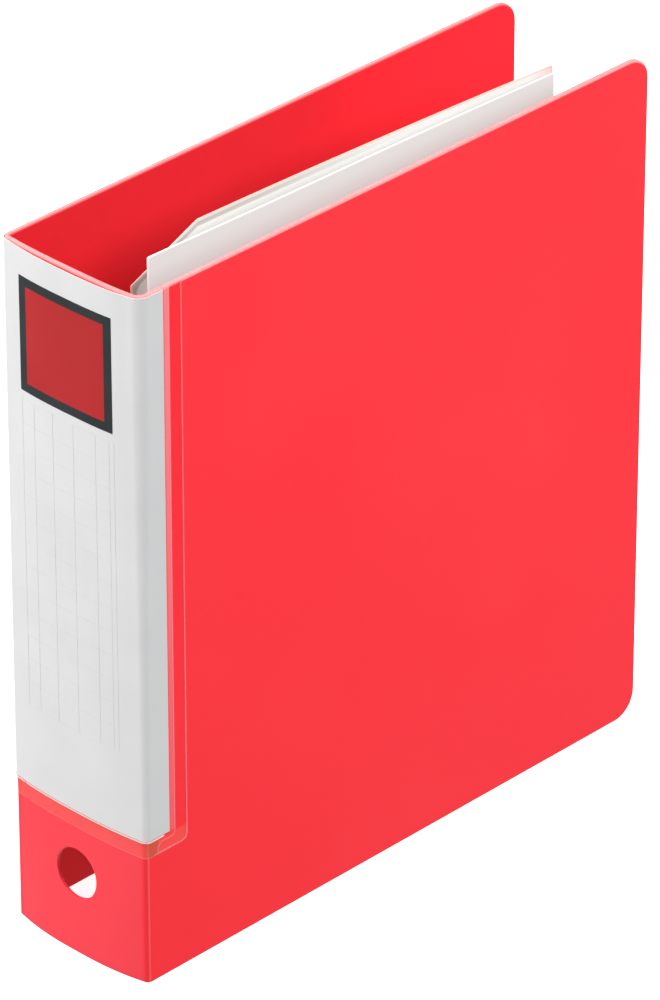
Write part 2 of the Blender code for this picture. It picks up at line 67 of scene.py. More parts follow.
SHEET = BACK_INNER - BACK_LOW.x
HALF_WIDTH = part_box("front_cover")[1].x
SPINE_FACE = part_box("spine")[1].y - SHEET
DEPTH = BACK_HIGH.y - SPINE_FACE

# How the sheet is bent: the front fold is crisp at the foot and softer at the head, and the spine
# swells. The spine's sheet is made in two pieces that meet at SEAM, clear of the back fold.
CORNER_RADIUS = 0.011
FOLD_FOOT = 0.0024
FOLD_HEAD_FRONT = 0.0046
FOLD_HEAD_BACK = 0.0026
FOLD_SOFTENS_FROM = 0.090
FOLD_EASE_RUN = 0.011
SPINE_FLAT = HALF_WIDTH - FOLD_FOOT
COVER_FLAT = DEPTH - FOLD_FOOT
SEAM = -0.85
SPINE_SWELL_FOOT = 0.0034
SPINE_SWELL_HEAD = 0.0012
SWELL_SETTLES_AT = 0.095
CARD_SWELL_FOOT = 0.0021
CARD_SWELL_HEAD = 0.0025
SWELL_POWER = 2.6
HOLE_RADIUS = 0.011
HOLE_HEIGHT = 0.0365
HOLE_PATCH = 0.016
HOLE_CELLS = 16
COVER_BEVEL = 0.0002

# The pocket and its card.
CARD_FOOT, CARD_HEAD = (corner.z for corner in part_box("card_spine"))
POCKET_FOOT, POCKET_HEAD = (corner.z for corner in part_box("pocket_spine"))
CARD_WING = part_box("card_front_wing")[1].y - SPINE_FACE
POCKET_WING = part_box("pocket_front_wing")[1].y - SPINE_FACE
CARD_LIFT = 0.00030
CARD_THICKNESS = 0.00025
FILM_THICKNESS = 0.00018
FILM_LIFT = CARD_LIFT + CARD_THICKNESS + 0.00012
FILM_LIFT_WELDED = 0.00008
WELD_STEP = 0.0160
RIM_STEP = 0.0016

QUARTER_TURN = math.pi / 2
SMOOTH_BELOW = math.radians(35)
BEVEL_ABOVE = math.radians(40)


def mix(a, b, share):
    return a + (b - a) * share


def ease(share):
    share = min(1.0, max(0.0, share))
    return share * share * (3 - 2 * share)


def steps(low, high, count):
    """count + 1 evenly spaced values, both ends included."""
    return [mix(low, high, k / count) for k in range(count + 1)]


def close_to_ends(shares, length):
    """Adds two narrow steps at each end, so that a line along a sheet's rim keeps its width."""
    near = [RIM_STEP / length, 3 * RIM_STEP / length]
    return sorted(shares + near + [1 - share for share in near])


# Materials. Each is a Principled surface whose pattern comes from nodes. On bent sheets the
# pattern is placed by two texture maps that keep still when the sheet bends: "flat" holds the place
# on the unfolded sheet, and "rim" the distance from the sheet's outline.

SURFACES = {}  # by name; the loaded part brings materials of its own, some with the same names


class Value:
    """A node's output with arithmetic, so that a pattern reads as a formula."""

    def __init__(self, tree, socket):
        self.tree = tree
        self.socket = socket

    def math(self, operation, other=0.0):
        return made_by(self.tree, "ShaderNodeMath", {0: self, 1: other}, operation=operation)

    def __add__(self, other):
        return self.math("ADD", other)

    def __mul__(self, other):
        return self.math("MULTIPLY", other)

    def ramp(self, low, high, at_low=0.0, at_high=1.0):
        """A smooth step from one value to another."""
        inputs = {0: self, 1: low, 2: high, 3: at_low, 4: at_high}
        return made_by(self.tree, "ShaderNodeMapRange", inputs, interpolation_type="SMOOTHSTEP")

    def line(self, centre, half_width, softness):
        """1 near the centre value, falling to 0 past half_width."""
        off = self.math("SUBTRACT", centre).math("ABSOLUTE")
        return off.ramp(half_width, half_width + softness, 1.0, 0.0)

    def choose(self, first, second):
        """A colour: the first at 0, the second at 1, and a mixture between."""
        inputs = {0: self, 6: first, 7: second}
        return made_by(self.tree, "ShaderNodeMix", inputs, 2, data_type="RGBA")

    def part(self, index):
        return made_by(self.tree, "ShaderNodeSeparateXYZ", {0: self}, index)


def put(socket, value):
    """Sets an input to a number, a colour or another node's output."""
    if isinstance(value, Value):
        value.tree.links.new(value.socket, socket)
    elif socket.type == "RGBA" and len(value) == 3:
        socket.default_value = (*value, 1.0)
    else:
        socket.default_value = value


def made_by(tree, kind, inputs=None, output=0, **settings):
    """Adds a node with these inputs and settings, and gives one of its outputs."""
    node = tree.nodes.new(kind)
    for name, value in settings.items():
        setattr(node, name, value)
    for name, value in (inputs or {}).items():
        put(node.inputs[name], value)
    return Value(tree, node.outputs[output])


class FlatPlace:
    """A sheet's two maps: distance across from the spine's centre, height, and rim. past_fold and
    under_head are ramps between two places, counted from the fold and down from the head."""

    def __init__(self, tree):
        self.vector = made_by(tree, "ShaderNodeUVMap", uv_map="flat")
        self.across = self.vector.part(0)
        self.away = self.across.math("ABSOLUTE")
        self.height = self.vector.part(1)
        self.rim = made_by(tree, "ShaderNodeUVMap", uv_map="rim").part(0)

    def past_fold(self, low, high, *ends):
        return self.away.ramp(HALF_WIDTH + low, HALF_WIDTH + high, *ends)

    def under_head(self, low, high, *ends):
        return self.height.ramp(HEIGHT - low, HEIGHT - high, *ends)


def surface(
    name, color, other_color, patch_scale=12.0, roughness=(0.4, 0.5), grain_scale=900.0,
    grain_depth=0.00002, grain_strength=0.3, stretch=(1.0, 1.0, 1.0), tint=None, alpha=None,
    flat=True, **shader_inputs,
):
    """Slow colour drift between two tones, with a fine grain in roughness and height.

    On a flat sheet, tint(place, color) may change the colour by the place, and alpha(place) gives
    the opacity there. Other solids use flat=False.
    """
    material = bpy.data.materials.new(name)
    material.use_nodes = True
    tree = material.node_tree
    place = FlatPlace(tree) if flat else None
    where = place.vector if flat else made_by(tree, "ShaderNodeTexCoord", output="Object")
    where = made_by(tree, "ShaderNodeVectorMath", {0: where, 1: stretch}, operation="MULTIPLY")

    def noise(scale, detail):
        inputs = {"Vector": where, "Scale": scale, "Detail": detail}
        return made_by(tree, "ShaderNodeTexNoise", inputs, "Fac")

    tone = noise(patch_scale, 3.0).ramp(0.3, 0.7).choose(color, other_color)
    grain = noise(grain_scale, 2.0)
    relief = {"Height": grain, "Strength": grain_strength, "Distance": grain_depth}
    gloss = {"Value": grain, "To Min": roughness[0], "To Max": roughness[1]}
    shader_inputs["Base Color"] = tint(place, tone) if tint else tone
    shader_inputs["Roughness"] = made_by(tree, "ShaderNodeMapRange", gloss)
    shader_inputs["Normal"] = made_by(tree, "ShaderNodeBump", relief)
    if alpha:
        shader_inputs["Alpha"] = alpha(place)
    for label, value in shader_inputs.items():
        put(tree.nodes["Principled BSDF"].inputs[label.replace("_", " ")], value)
    SURFACES[name] = material


def near_head(place):
    """The head of the sheet catches the light, and its other edges don't."""
    return place.under_head(0.007, 0.002)


# Painted light and shade on the sheet's cut edges: pink near the head as if lit through, a shaded
# deep red elsewhere.
def edge_tint(place, color):
    return near_head(place).choose((1.0, 0.035, 0.055), color)


def cover_tint(place, color):
    """Painted shade: a deeper red near the spine and foot. Painted light: a lighter red on the
    spine's face, a paler line along each fold that is partly the fold's whitening and partly a
    painted highlight, and a painted glow of light through the rim near the head.
    """
    # painted shade: a darker red near the spine and towards the foot
    painted_shading = place.past_fold(0.01, 0.24, 1.0, 0.0)
    low = place.height.ramp(0.0, HEIGHT, 1.0, 0.2)
    off_spine = place.past_fold(-0.001, 0.004)
    color = (painted_shading * low * off_spine * 0.5).choose(color, (0.93, 0.008, 0.020))
    # painted light: the spine's face is a lighter red than the covers
    painted_spine_light = place.past_fold(-0.004, -0.001, 1.0, 0.0)
    color = (painted_spine_light * 0.6).choose(color, (1.0, 0.066, 0.095))
    # the fold's paler line: partly the whitened fold, partly a painted highlight on its crest
    crease_whitening_and_highlight = place.away.line(HALF_WIDTH + FOLD_FOOT * 0.5, 0.00022, 0.0005)
    color = (crease_whitening_and_highlight * 0.42).choose(color, (1.0, 0.20, 0.20))
    # painted light: a pale glow through the rim near the head
    painted_rim_light = place.rim.ramp(0.0007, 0.0015, 1.0, 0.0) * near_head(place)
    return (painted_rim_light * 0.85).choose(color, (1.0, 0.42, 0.42))


def inside_tint(place, color):
    """Painted shade and light on the inside: a darker copy of the red as painted shade, brightened
    by painted light low down and towards the fore edge on the back cover, painted darker on the
    front cover, with a painted glow of light through the rim near the head.
    """
    # painted light: brighter towards the fore edge, away from the shaded fold
    fore = place.past_fold(0.12, 0.28)
    color = fore.choose(color, (1.0, 0.020, 0.034))
    # painted light: brighter low down, against the shade deep in the file
    painted_shading = place.under_head(0.10, 0.015, 1.0, 0.0)
    color = (painted_shading * 0.9).choose(color, (1.0, 0.018, 0.028))
    # painted shade: the front cover's inside is darker than the back's
    painted_front_shade = place.across.ramp(HALF_WIDTH - 0.01, HALF_WIDTH + 0.01)
    color = painted_front_shade.choose(color, (0.72, 0.014, 0.024))
    painted_rim_light = place.rim.ramp(0.0003, 0.0014, 1.0, 0.0) * near_head(place)
    return (painted_rim_light * 0.6).choose(color, (1.0, 0.40, 0.40))


def film_below_card(place):
    return place.height.ramp(CARD_FOOT - 0.0012, CARD_FOOT - 0.0006, 1.0, 0.0)


def film_patch(place):
    """The doubled corner of film between the fold and the pocket's inner weld."""
    inside = place.past_fold(0.0060, 0.0072, 1.0, 0.0)
    off_spine = place.past_fold(-0.0005, 0.0015)
    return inside * off_spine * film_below_card(place)


def film_step_highlight(place):
    """A painted highlight where the film steps down past the card's edge."""
    strip = place.away.line(HALF_WIDTH + (CARD_WING + WELD_STEP) / 2, 0.0010, 0.0011)
    return strip * place.height.ramp(CARD_FOOT - 0.0006, CARD_FOOT + 0.001)


def film_welded(place):
    """Where the film lies down on the cover, which looks a little deeper through it."""
    edge = HALF_WIDTH + WELD_STEP
    return place.away.ramp(edge - 0.0006, edge + 0.0006)


def film_tint(place, color):
    color = film_welded(place).choose(color, (0.94, 0.008, 0.024))
    # painted highlight where the film steps down past the card
    color = film_step_highlight(place).choose(color, (1.0, 0.52, 0.57))
    color = film_below_card(place).choose(color, (1.0, 0.64, 0.38))
    return film_patch(place).choose(color, (0.55, 0.24, 0.10))


def film_alpha(place):
    """Nearly clear, with a pale strip of painted highlight where the film steps down past the
    card's edge.
    """
    strip = film_step_highlight(place) * place.height.ramp(CARD_FOOT, CARD_HEAD, 0.10, 0.24)
    welded = film_welded(place) * place.height.ramp(CARD_FOOT, CARD_HEAD, 0.0, 0.1)
    below = film_below_card(place) * 0.034
    return strip + below + film_patch(place) * 0.16 + welded + 0.005


def card_tint(place, color):
    """Painted shade: the folded edges of the card are greyer than its face, as light falls on them
    at a slant.
    """
    painted_wing_shade = place.past_fold(-0.0006, 0.0022)
    return (painted_wing_shade * 0.5).choose(color, (0.47, 0.48, 0.49))


def lifter_tint(place, color):
    """Painted shade: a grey line under the edge, strongest at the spine side of the head. Painted
    reflection: a peach rim, the red covers seen in the film's edge.
    """
    # painted shade under the edge
    line = place.rim.line(0.0020, 0.0005, 0.0010)
    spine_side = place.away.ramp(0.03, 0.17, 0.75, 0.0)
    head = place.under_head(0.05, 0.03)
    color = (line * spine_side * head).choose(color, (0.42, 0.38, 0.34))
    # painted reflection of the red covers along the rim
    painted_rim_light = place.rim.ramp(0.0002, 0.0009, 1.0, 0.0)
    return painted_rim_light.choose(color, (0.92, 0.58, 0.50))


def paper_tint(place, color):
    """Painted light: a cooler head that offsets the red light the covers throw on it, and a painted
    highlight along the rim.
    """
    # painted light: cooler towards the head against the covers' red light
    head = place.under_head(0.08, 0.02)
    color = head.choose(color, (0.36, 0.46, 0.45))
    # painted highlight along the rim
    painted_rim_light = place.rim.ramp(0.0001, 0.0007, 1.0, 0.0)
    return painted_rim_light.choose(color, (0.62, 0.64, 0.63))


def make_materials():
    surface(
        "cover_red", (1.0, 0.018, 0.034), (1.0, 0.024, 0.040), patch_scale=9.0,
        roughness=(0.36, 0.46), grain_scale=1500.0, grain_depth=0.00003, grain_strength=0.25,
        tint=cover_tint, Subsurface_Weight=0.2, Subsurface_Radius=(1.0, 0.1, 0.1),
        Subsurface_Scale=0.002,
    )
    # painted shade: a darker copy of the red for the sheet's inside, with a faint glow of painted
    # light from its emission
    surface(
        "cover_inside_red", (0.64, 0.011, 0.020), (0.68, 0.014, 0.023), patch_scale=9.0,
        roughness=(0.5, 0.6), grain_scale=1500.0, tint=inside_tint, Specular_IOR_Level=0.15,
        Emission_Color=(1.0, 0.05, 0.07), Emission_Strength=0.05,
    )
    # painted light: the cut edges' pink is light through them, kept to the head by edge_tint
    surface(
        "cover_edge_pink", (1.0, 0.27, 0.27), (1.0, 0.32, 0.32), patch_scale=40.0, tint=edge_tint,
        Subsurface_Weight=0.3, Subsurface_Radius=(1.0, 0.3, 0.3), Subsurface_Scale=0.002,
    )
    surface(
        "pocket_clear_film", (0.95, 0.93, 0.92), (0.92, 0.90, 0.90), roughness=(0.12, 0.2),
        grain_scale=300.0, grain_strength=0.15, tint=film_tint, alpha=film_alpha,
    )
    surface(
        "pocket_film_cut_edge", (1.0, 0.62, 0.60), (1.0, 0.70, 0.66), roughness=(0.2, 0.3),
        Alpha=0.34,
    )
    surface(
        "pocket_film_weld", (1.0, 0.60, 0.66), (1.0, 0.68, 0.73), roughness=(0.2, 0.3), Alpha=0.13
    )
    # painted highlight: the cream line along the film's foot bead under the card
    surface(
        "pocket_film_under_card", (1.0, 0.80, 0.68), (1.0, 0.86, 0.76), patch_scale=60.0,
        roughness=(0.2, 0.3), Alpha=0.6,
    )
    surface(
        "card_white", (0.69, 0.69, 0.69), (0.72, 0.72, 0.72), patch_scale=30.0,
        roughness=(0.6, 0.75), grain_scale=2500.0, tint=card_tint,
    )
    surface(
        "card_cut_edge", (0.80, 0.76, 0.70), (0.84, 0.80, 0.74), roughness=(0.7, 0.8)
    )
    surface(
        "card_ink_dark", (0.012, 0.018, 0.020), (0.018, 0.024, 0.026), patch_scale=50.0,
        Specular_IOR_Level=0.3,
    )
    surface(
        "card_ink_red", (0.43, 0.012, 0.014), (0.47, 0.016, 0.018), patch_scale=25.0,
        Specular_IOR_Level=0.2,
    )
    # painted shade: the grey of the card's embossed rules, drawn as flat lines
    surface(
        "card_ink_grey", (0.655, 0.655, 0.665), (0.715, 0.715, 0.72), patch_scale=110.0,
        roughness=(0.6, 0.7),
    )
    # painted light: the leaf glows by its own emission, over a dim grey base
    surface(
        "leaf_paper_white", (0.44, 0.46, 0.45), (0.47, 0.48, 0.47), patch_scale=14.0,
        roughness=(0.55, 0.7), grain_scale=2200.0, tint=paper_tint,
        Emission_Color=(0.90, 1.0, 0.97), Emission_Strength=0.36,
    )
    surface(
        "leaf_paper_edge", (0.97, 0.96, 0.95), (0.99, 0.98, 0.97), roughness=(0.7, 0.8)
    )
    surface(
        "lifter_frosted_film", (0.84, 0.77, 0.75), (0.87, 0.81, 0.79), patch_scale=10.0,
        roughness=(0.3, 0.42), tint=lifter_tint, Alpha=0.9,
    )
    # painted reflection: the film's edge is peach with the red covers reflected in it
    surface(
        "lifter_film_edge", (0.92, 0.58, 0.50), (0.94, 0.64, 0.56), roughness=(0.3, 0.4)
    )
    surface(
        "plated_steel", (0.74, 0.73, 0.71), (0.80, 0.79, 0.77), patch_scale=60.0,
        roughness=(0.18, 0.32), grain_scale=700.0, grain_depth=0.00001, stretch=(1.0, 1.0, 0.15),
        flat=False, Metallic=1.0,
    )
    surface(
        "grip_black", (0.020, 0.020, 0.022), (0.032, 0.032, 0.034), roughness=(0.4, 0.55),
        grain_scale=1600.0, grain_depth=0.00004, grain_strength=0.5, flat=False,
    )
    surface(
        "roller_nylon", (0.80, 0.79, 0.74), (0.85, 0.84, 0.80), roughness=(0.35, 0.5), flat=False,
        Subsurface_Weight=0.2, Subsurface_Scale=0.001,
    )


# Mesh helpers.


def piece_from(name, form, materials):
    mesh = bpy.data.meshes.new(name)
    form.to_mesh(mesh)
    form.free()
    mesh.shade_smooth()
    mesh.set_sharp_from_angle(angle=SMOOTH_BELOW)
    for label in materials:
        mesh.materials.append(SURFACES[label])
    piece = bpy.data.objects.new(name, mesh)
    bpy.context.collection.objects.link(piece)
    return piece


def bake_modifiers(piece):
    """Replaces the mesh with its evaluated form and drops the modifiers."""
    bpy.context.view_layer.update()
    evaluated = piece.evaluated_get(bpy.context.evaluated_depsgraph_get())
    mesh = bpy.data.meshes.new_from_object(evaluated)
    piece.modifiers.clear()
    piece.data = mesh


def soften_edges(piece, width, keep_sharp=None):
    """Bevels the sharp edges, but not those whose two ends keep_sharp says to leave."""
    shape = bmesh.new()
    shape.from_mesh(piece.data)
    weights = shape.edges.layers.float.new("bevel_weight_edge")
    for edge in shape.edges:
        if len(edge.link_faces) != 2 or edge.calc_face_angle() < BEVEL_ABOVE:
            continue
        if not (keep_sharp and all(keep_sharp(vert.co) for vert in edge.verts)):
            edge[weights] = 1.0
    shape.to_mesh(piece.data)
    shape.free()
    modifier = piece.modifiers.new("Bevel", "BEVEL")
    modifier.width = width
    modifier.segments = 2
    modifier.limit_method = "WEIGHT"
    bake_modifiers(piece)
    piece.data.set_sharp_from_angle(angle=SMOOTH_BELOW)


class FlatSheet:
    """Cells of a sheet laid out flat, as (across, up) points, before it is bent and thickened."""

    def __init__(self):
        self.points = []
        self.cells = []
        self.numbers = {}

    def point(self, across, up):
        key = (round(across, 5), round(up, 6))
        if key not in self.numbers:
            self.numbers[key] = len(self.points)
            self.points.append((across, up))
        return self.numbers[key]

    def cell(self, *corners):
        self.cells.append([self.point(*corner) for corner in corners])

    def grid(self, columns, shares, limits, skip=None):
        """Fills the columns between limits(across) = (foot, head) at each share of the height."""
        for left, right in zip(columns, columns[1:]):
            for low, high in zip(shares, shares[1:]):
                if skip and skip(left, right, low, high):
                    continue
                corners = ((left, low), (right, low), (right, high), (left, high))
                self.cell(*[(across, mix(*limits(across), share)) for across, share in corners])

    def solid(self, place, lengths, rim=None, edge_index=None, inner_index=0):
        """A closed mesh. place(across, up, side) gives a point on the outer (0) or inner (1) side,
        lengths(across) the distance along the flat sheet, rim(across, up) the distance from the
        outline, and edge_index(across, up) the material of the sheet's edge there."""
        form = bmesh.new()
        flat_map = form.loops.layers.uv.new("flat")
        rim_map = form.loops.layers.uv.new("rim")
        outer = [form.verts.new(place(a, up, 0)) for a, up in self.points]
        inner = [form.verts.new(place(a, up, 1)) for a, up in self.points]
        maps = {}
        for verts in (outer, inner):
            for vert, (across, up) in zip(verts, self.points):
                distance = rim(across, up) if rim else 0.01
                maps[vert] = ((lengths(across), up), (distance, up))
        owners = {}
        for cell in self.cells:
            form.faces.new([outer[i] for i in cell])
            inner_face = form.faces.new([inner[i] for i in reversed(cell)])
            inner_face.material_index = inner_index
            for a, b in zip(cell, cell[1:] + cell[:1]):
                owners.setdefault(frozenset((a, b)), []).append((a, b))
        for runs in owners.values():
            if len(runs) == 1:
                a, b = runs[0]
                edge = form.faces.new((outer[b], outer[a], inner[a], inner[b]))
                edge.material_index = edge_index(*self.points[a]) if edge_index else 1
        bmesh.ops.recalc_face_normals(form, faces=form.faces)
        for face in form.faces:
            for loop in face.loops:
                loop[flat_map].uv, loop[rim_map].uv = maps[loop.vert]
        return form


def skin(form, rings):
    """Joins rings of vertices into a closed solid with flat ends."""
    for ring, above in zip(rings, rings[1:]):
        for k in range(len(ring)):
            after = (k + 1) % len(ring)
            form.faces.new((ring[k], ring[after], above[after], above[k]))
    form.faces.new(rings[0])
    form.faces.new(rings[-1])
    bmesh.ops.recalc_face_normals(form, faces=form.faces)
    return form


# The bent cover. "across" runs over the outside of the sheet: -1 to 1 over the spine, 1 to 2 round
# the front fold, 2 to 3 over the front cover to its fore edge, and the same below -1 for the back.


def fold_radius(up, side):
    head = FOLD_HEAD_FRONT if side > 0 else FOLD_HEAD_BACK
    softening = ease((up - FOLD_SOFTENS_FROM) / (HEIGHT - FOLD_SOFTENS_FROM))
    return mix(FOLD_FOOT, head, softening)


def cover_swell(up):
    return mix(SPINE_SWELL_FOOT, SPINE_SWELL_HEAD, ease(up / SWELL_SETTLES_AT))


def card_swell(up):
    return mix(CARD_SWELL_FOOT, CARD_SWELL_HEAD, (up - CARD_FOOT) / (CARD_HEAD - CARD_FOOT))


def clear_of_fold(distance, radius):
    """A run from the corner, pushed outwards near the corner to make room for a softer fold."""
    past = (distance - FOLD_FOOT) / FOLD_EASE_RUN
    return distance + (radius - FOLD_FOOT) * (1 - ease(past))


def plan_point(across, up, swell):
    """The plan position on the bent sheet's outside, before any lift."""
    side = math.copysign(1.0, across)
    reach = abs(across)
    radius = fold_radius(up, side)
    if reach <= 1.0:
        bulge = swell(up) * (1 - reach**SWELL_POWER)
        run = HALF_WIDTH - reach * SPINE_FLAT
        return Vector((side * (HALF_WIDTH - clear_of_fold(run, radius)), SPINE_FACE - bulge))
    if reach <= 2.0:
        angle = (reach - 1) * QUARTER_TURN
        x = HALF_WIDTH - radius + radius * math.sin(angle)
        return Vector((side * x, SPINE_FACE + radius - radius * math.cos(angle)))
    run = cover_distance(across)
    return Vector((side * HALF_WIDTH, SPINE_FACE + clear_of_fold(run, radius)))


def bent(across, up, lift, swell=cover_swell):
    """A point at a lift off the bent sheet's outside, along its normal."""
    tiny = 0.004
    run = plan_point(across + tiny, up, swell) - plan_point(across - tiny, up, swell)
    run.normalize()
    here = plan_point(across, up, swell)
    return Vector((here.x + run.y * lift, here.y - run.x * lift, up))


def flat_length(across):
    """The distance along the unfolded sheet from the spine's centre, as if the fold were sharp."""
    side = math.copysign(1.0, across)
    reach = abs(across)
    if reach <= 1.0:
        return side * reach * SPINE_FLAT
    if reach <= 2.0:
        return side * (HALF_WIDTH + (2 * reach - 3) * FOLD_FOOT)
    return side * (HALF_WIDTH + FOLD_FOOT + (reach - 2) * COVER_FLAT)


def wing(distance):
    """The across value of a point on a cover at a distance from the spine's outer face."""
    return 2.0 + (distance - FOLD_FOOT) / COVER_FLAT


def flattened(distances):
    return [wing(distance) for distance in distances]


def cover_distance(across):
    """The reverse of wing."""
    return FOLD_FOOT + (abs(across) - 2) * COVER_FLAT


def cover_limits(across):
    """The foot and head of the cover, with its two fore corners rounded."""
    from_edge = (3.0 - abs(across)) * DEPTH
    if from_edge >= CORNER_RADIUS:
        return 0.0, HEIGHT
    inward = CORNER_RADIUS - max(0.0, from_edge)
    rise = CORNER_RADIUS - math.sqrt(max(0.0, CORNER_RADIUS**2 - inward**2))
    return rise, HEIGHT - rise


def cover_rim(across, up):
    foot, head = cover_limits(across)
    return min(up - foot, head - up, max(0.0, 3.0 - abs(across)) * DEPTH)


def panel_columns():
    """From the fold to the fore edge: close together near the fold and round the corner."""
    corner_share = CORNER_RADIUS / DEPTH
    eased = wing(FOLD_FOOT + FOLD_EASE_RUN)
    columns = steps(2.0, eased, 5) + steps(eased, 3.0 - corner_share, 14)[1:]
    for share in steps(0.0, 1.0, 10)[1:]:
        columns.append(3.0 - corner_share * (1 - math.sin(QUARTER_TURN * share)))
    return columns


HOLE_LOW = (HOLE_HEIGHT - HOLE_PATCH) / HEIGHT
HOLE_HIGH = (HOLE_HEIGHT + HOLE_PATCH) / HEIGHT
HOLE_ACROSS = HOLE_PATCH / SPINE_FLAT


def height_shares():
    """Shares of the height, with the finger hole's patch divided evenly."""
    shares = steps(0.0, HOLE_LOW, 3) + steps(HOLE_LOW, HOLE_HIGH, HOLE_CELLS)[1:]
    shares += steps(HOLE_HIGH, 1.0, 20)[1:]
    return [round(share, 7) for share in close_to_ends(shares, HEIGHT)]


def spine_columns():
    side = steps(HOLE_ACROSS, 1.0, 9)[1:]
    beyond = [-a for a in reversed(side) if -a > SEAM]
    return [SEAM] + beyond + steps(-HOLE_ACROSS, HOLE_ACROSS, HOLE_CELLS) + side


def in_hole_patch(left, right, low, high):
    slack = 1e-6
    within = left >= -HOLE_ACROSS - slack and right <= HOLE_ACROSS + slack
    return within and low >= HOLE_LOW - slack and high <= HOLE_HIGH + slack


def add_hole_patch(sheet, rings=5):
    """Rings of cells from the square left out of the spine's grid down to the round hole."""
    run = steps(-1, 1, HOLE_CELLS)[:-1]
    square = [(a, -1.0) for a in run] + [(1.0, a) for a in run]
    square += [(-a, 1.0) for a in run] + [(-1.0, -a) for a in run]
    circle = HOLE_RADIUS / HOLE_PATCH

    def ring_point(k, ring):
        a, b = square[k % len(square)]
        scale = mix(circle / math.hypot(a, b), 1.0, (ring / rings) ** 1.3)
        return HOLE_ACROSS * a * scale, HOLE_HEIGHT + HOLE_PATCH * b * scale

    for k in range(len(square)):
        for ring in range(rings):
            corners = ((k, ring), (k + 1, ring), (k + 1, ring + 1), (k, ring + 1))
            sheet.cell(*[ring_point(*corner) for corner in corners])


def cover_place(across, up, side):
    return bent(across, up, -SHEET * side)


def at_seam(across):
    return abs(across - SEAM) < 0.001


def cover_edge_index(across, up):
    """The cut outline is pale, and the punched hole's wall is as red as the sheet."""
    from_hole = math.hypot(across * SPINE_FLAT, up - HOLE_HEIGHT)
    return 0 if from_hole < HOLE_RADIUS * 1.1 or at_seam(across) else 1


def on_seam(point):
    """True for a point where the spine's two pieces of sheet meet."""
    return abs(point.x - bent(SEAM, point.z, 0).x) < 0.0004


def blend_at_fold(piece, side):
    """Bakes a piece's placement into its mesh, for the front (1) or back (-1) fold. It works out
    the ends of the corner's diagonal, but does not bend the piece.
    """
    spine_end = (side * SPINE_FLAT, SPINE_FACE, 0)
    cover_end = (side * HALF_WIDTH, SPINE_FACE + FOLD_FOOT, 0)
    if side > 0:
        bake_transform(piece)
    else:
        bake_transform(piece)


def cover_piece(name, sheet, side, nodes):
    form = sheet.solid(cover_place, flat_length, cover_rim, cover_edge_index, inner_index=2)
    materials = ["cover_red", "cover_edge_pink", "cover_inside_red"]
    piece = piece_from(name, form, materials)
    soften_edges(piece, COVER_BEVEL, keep_sharp=on_seam)
    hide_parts(*nodes)
    blend_at_fold(piece, side)


def seam_to_back(rest):
    """Columns of a back piece: the given ones over the cover, the fold, and on to the seam."""
    columns = list(rest)[::-1] + steps(2.0, 1.0, 8) + steps(1.0, -SEAM, 2)[1:]
    return [-a for a in columns]


def make_cover():
    """One piece from the front cover's fore edge to the seam, and one for the rest."""
    front = FlatSheet()
    columns = spine_columns() + steps(1.0, 2.0, 8)[1:] + panel_columns()[1:]
    front.grid(columns, height_shares(), cover_limits, skip=in_hole_patch)
    add_hole_patch(front)
    cover_piece("front_cover_and_spine", front, 1, ("spine", "front_cover"))
    back = FlatSheet()
    back.grid(seam_to_back(panel_columns()[1:]), height_shares(), cover_limits)
    cover_piece("back_cover_sheet", back, -1, ("back_cover",))


# The card and the film: layers over the spine, each in a front and a back piece that meet at the
# seam.


def front_columns(distances):
    """Columns of a front piece, from the seam over the spine and round the fold."""
    columns = [a for a in steps(-1.0, 1.0, 28) if a > SEAM + 0.01]
    return [SEAM] + columns + steps(1.0, 2.0, 8)[1:] + flattened(distances)


def layer_edge_index(across, up):
    """The end at the seam keeps the layer's own material."""
    return 0 if at_seam(across) else 1


def make_layer(name, node, distances, shares, limits, place, materials):
    back_columns = seam_to_back(flattened(distances))
    for word, side, columns in (("front", 1, front_columns(distances)), ("back", -1, back_columns)):
        sheet = FlatSheet()
        sheet.grid(columns, shares, limits)
        form = sheet.solid(place, flat_length, edge_index=layer_edge_index)
        piece = piece_from(f"{name}_{word}", form, materials)
        nodes = [f"{node}_spine"] if side > 0 else []
        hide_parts(*nodes, f"{node}_{word}_wing")
        blend_at_fold(piece, side)


def card_place(across, up, side):
    return bent(across, up, CARD_LIFT + CARD_THICKNESS * (1 - side), card_swell)


def make_card():
    make_layer(
        "label_card", "card", steps(FOLD_FOOT, CARD_WING, 5)[1:], steps(0.0, 1.0, 24),
        lambda across: (CARD_FOOT, CARD_HEAD), card_place, ["card_white", "card_cut_edge"],
    )


INK = 0.00003
FRAME_WIDTH = 0.0500
FRAME_HEIGHT = 0.050
FRAME_BORDER = 0.0040
FRAME_CENTRE_X = -0.0010
FRAME_TOP_DROP = 0.0115
GRID_TOP_DROP = 0.0650
GRID_ROWS = 13
GRID_ROW_HEIGHT = 0.0106
GRID_COLUMNS = (-0.0255, -0.0185, -0.0080, 0.0032, 0.0150, 0.0220, 0.0245)
GRID_LINE = 0.00025


def print_place(across, up, side):
    top = CARD_LIFT + CARD_THICKNESS + INK
    return bent(across, up, top + INK * (1 - side), card_swell)


def printed(name, boxes, material):
    """Flat pieces on the card, for its print and its rules' painted shade: boxes are
    (left, right, foot, head), left and right in metres.
    """
    sheet = FlatSheet()
    for left, right, foot, head in boxes:
        count = max(1, round((right - left) / 0.003))
        rows = max(1, round((head - foot) / 0.02))
        columns = [x / SPINE_FLAT for x in steps(left, right, count)]
        sheet.grid(columns, steps(0.0, 1.0, rows), lambda across, ends=(foot, head): ends)
    piece = piece_from(name, sheet.solid(print_place, flat_length), [material] * 2)
    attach(piece, "label_card")


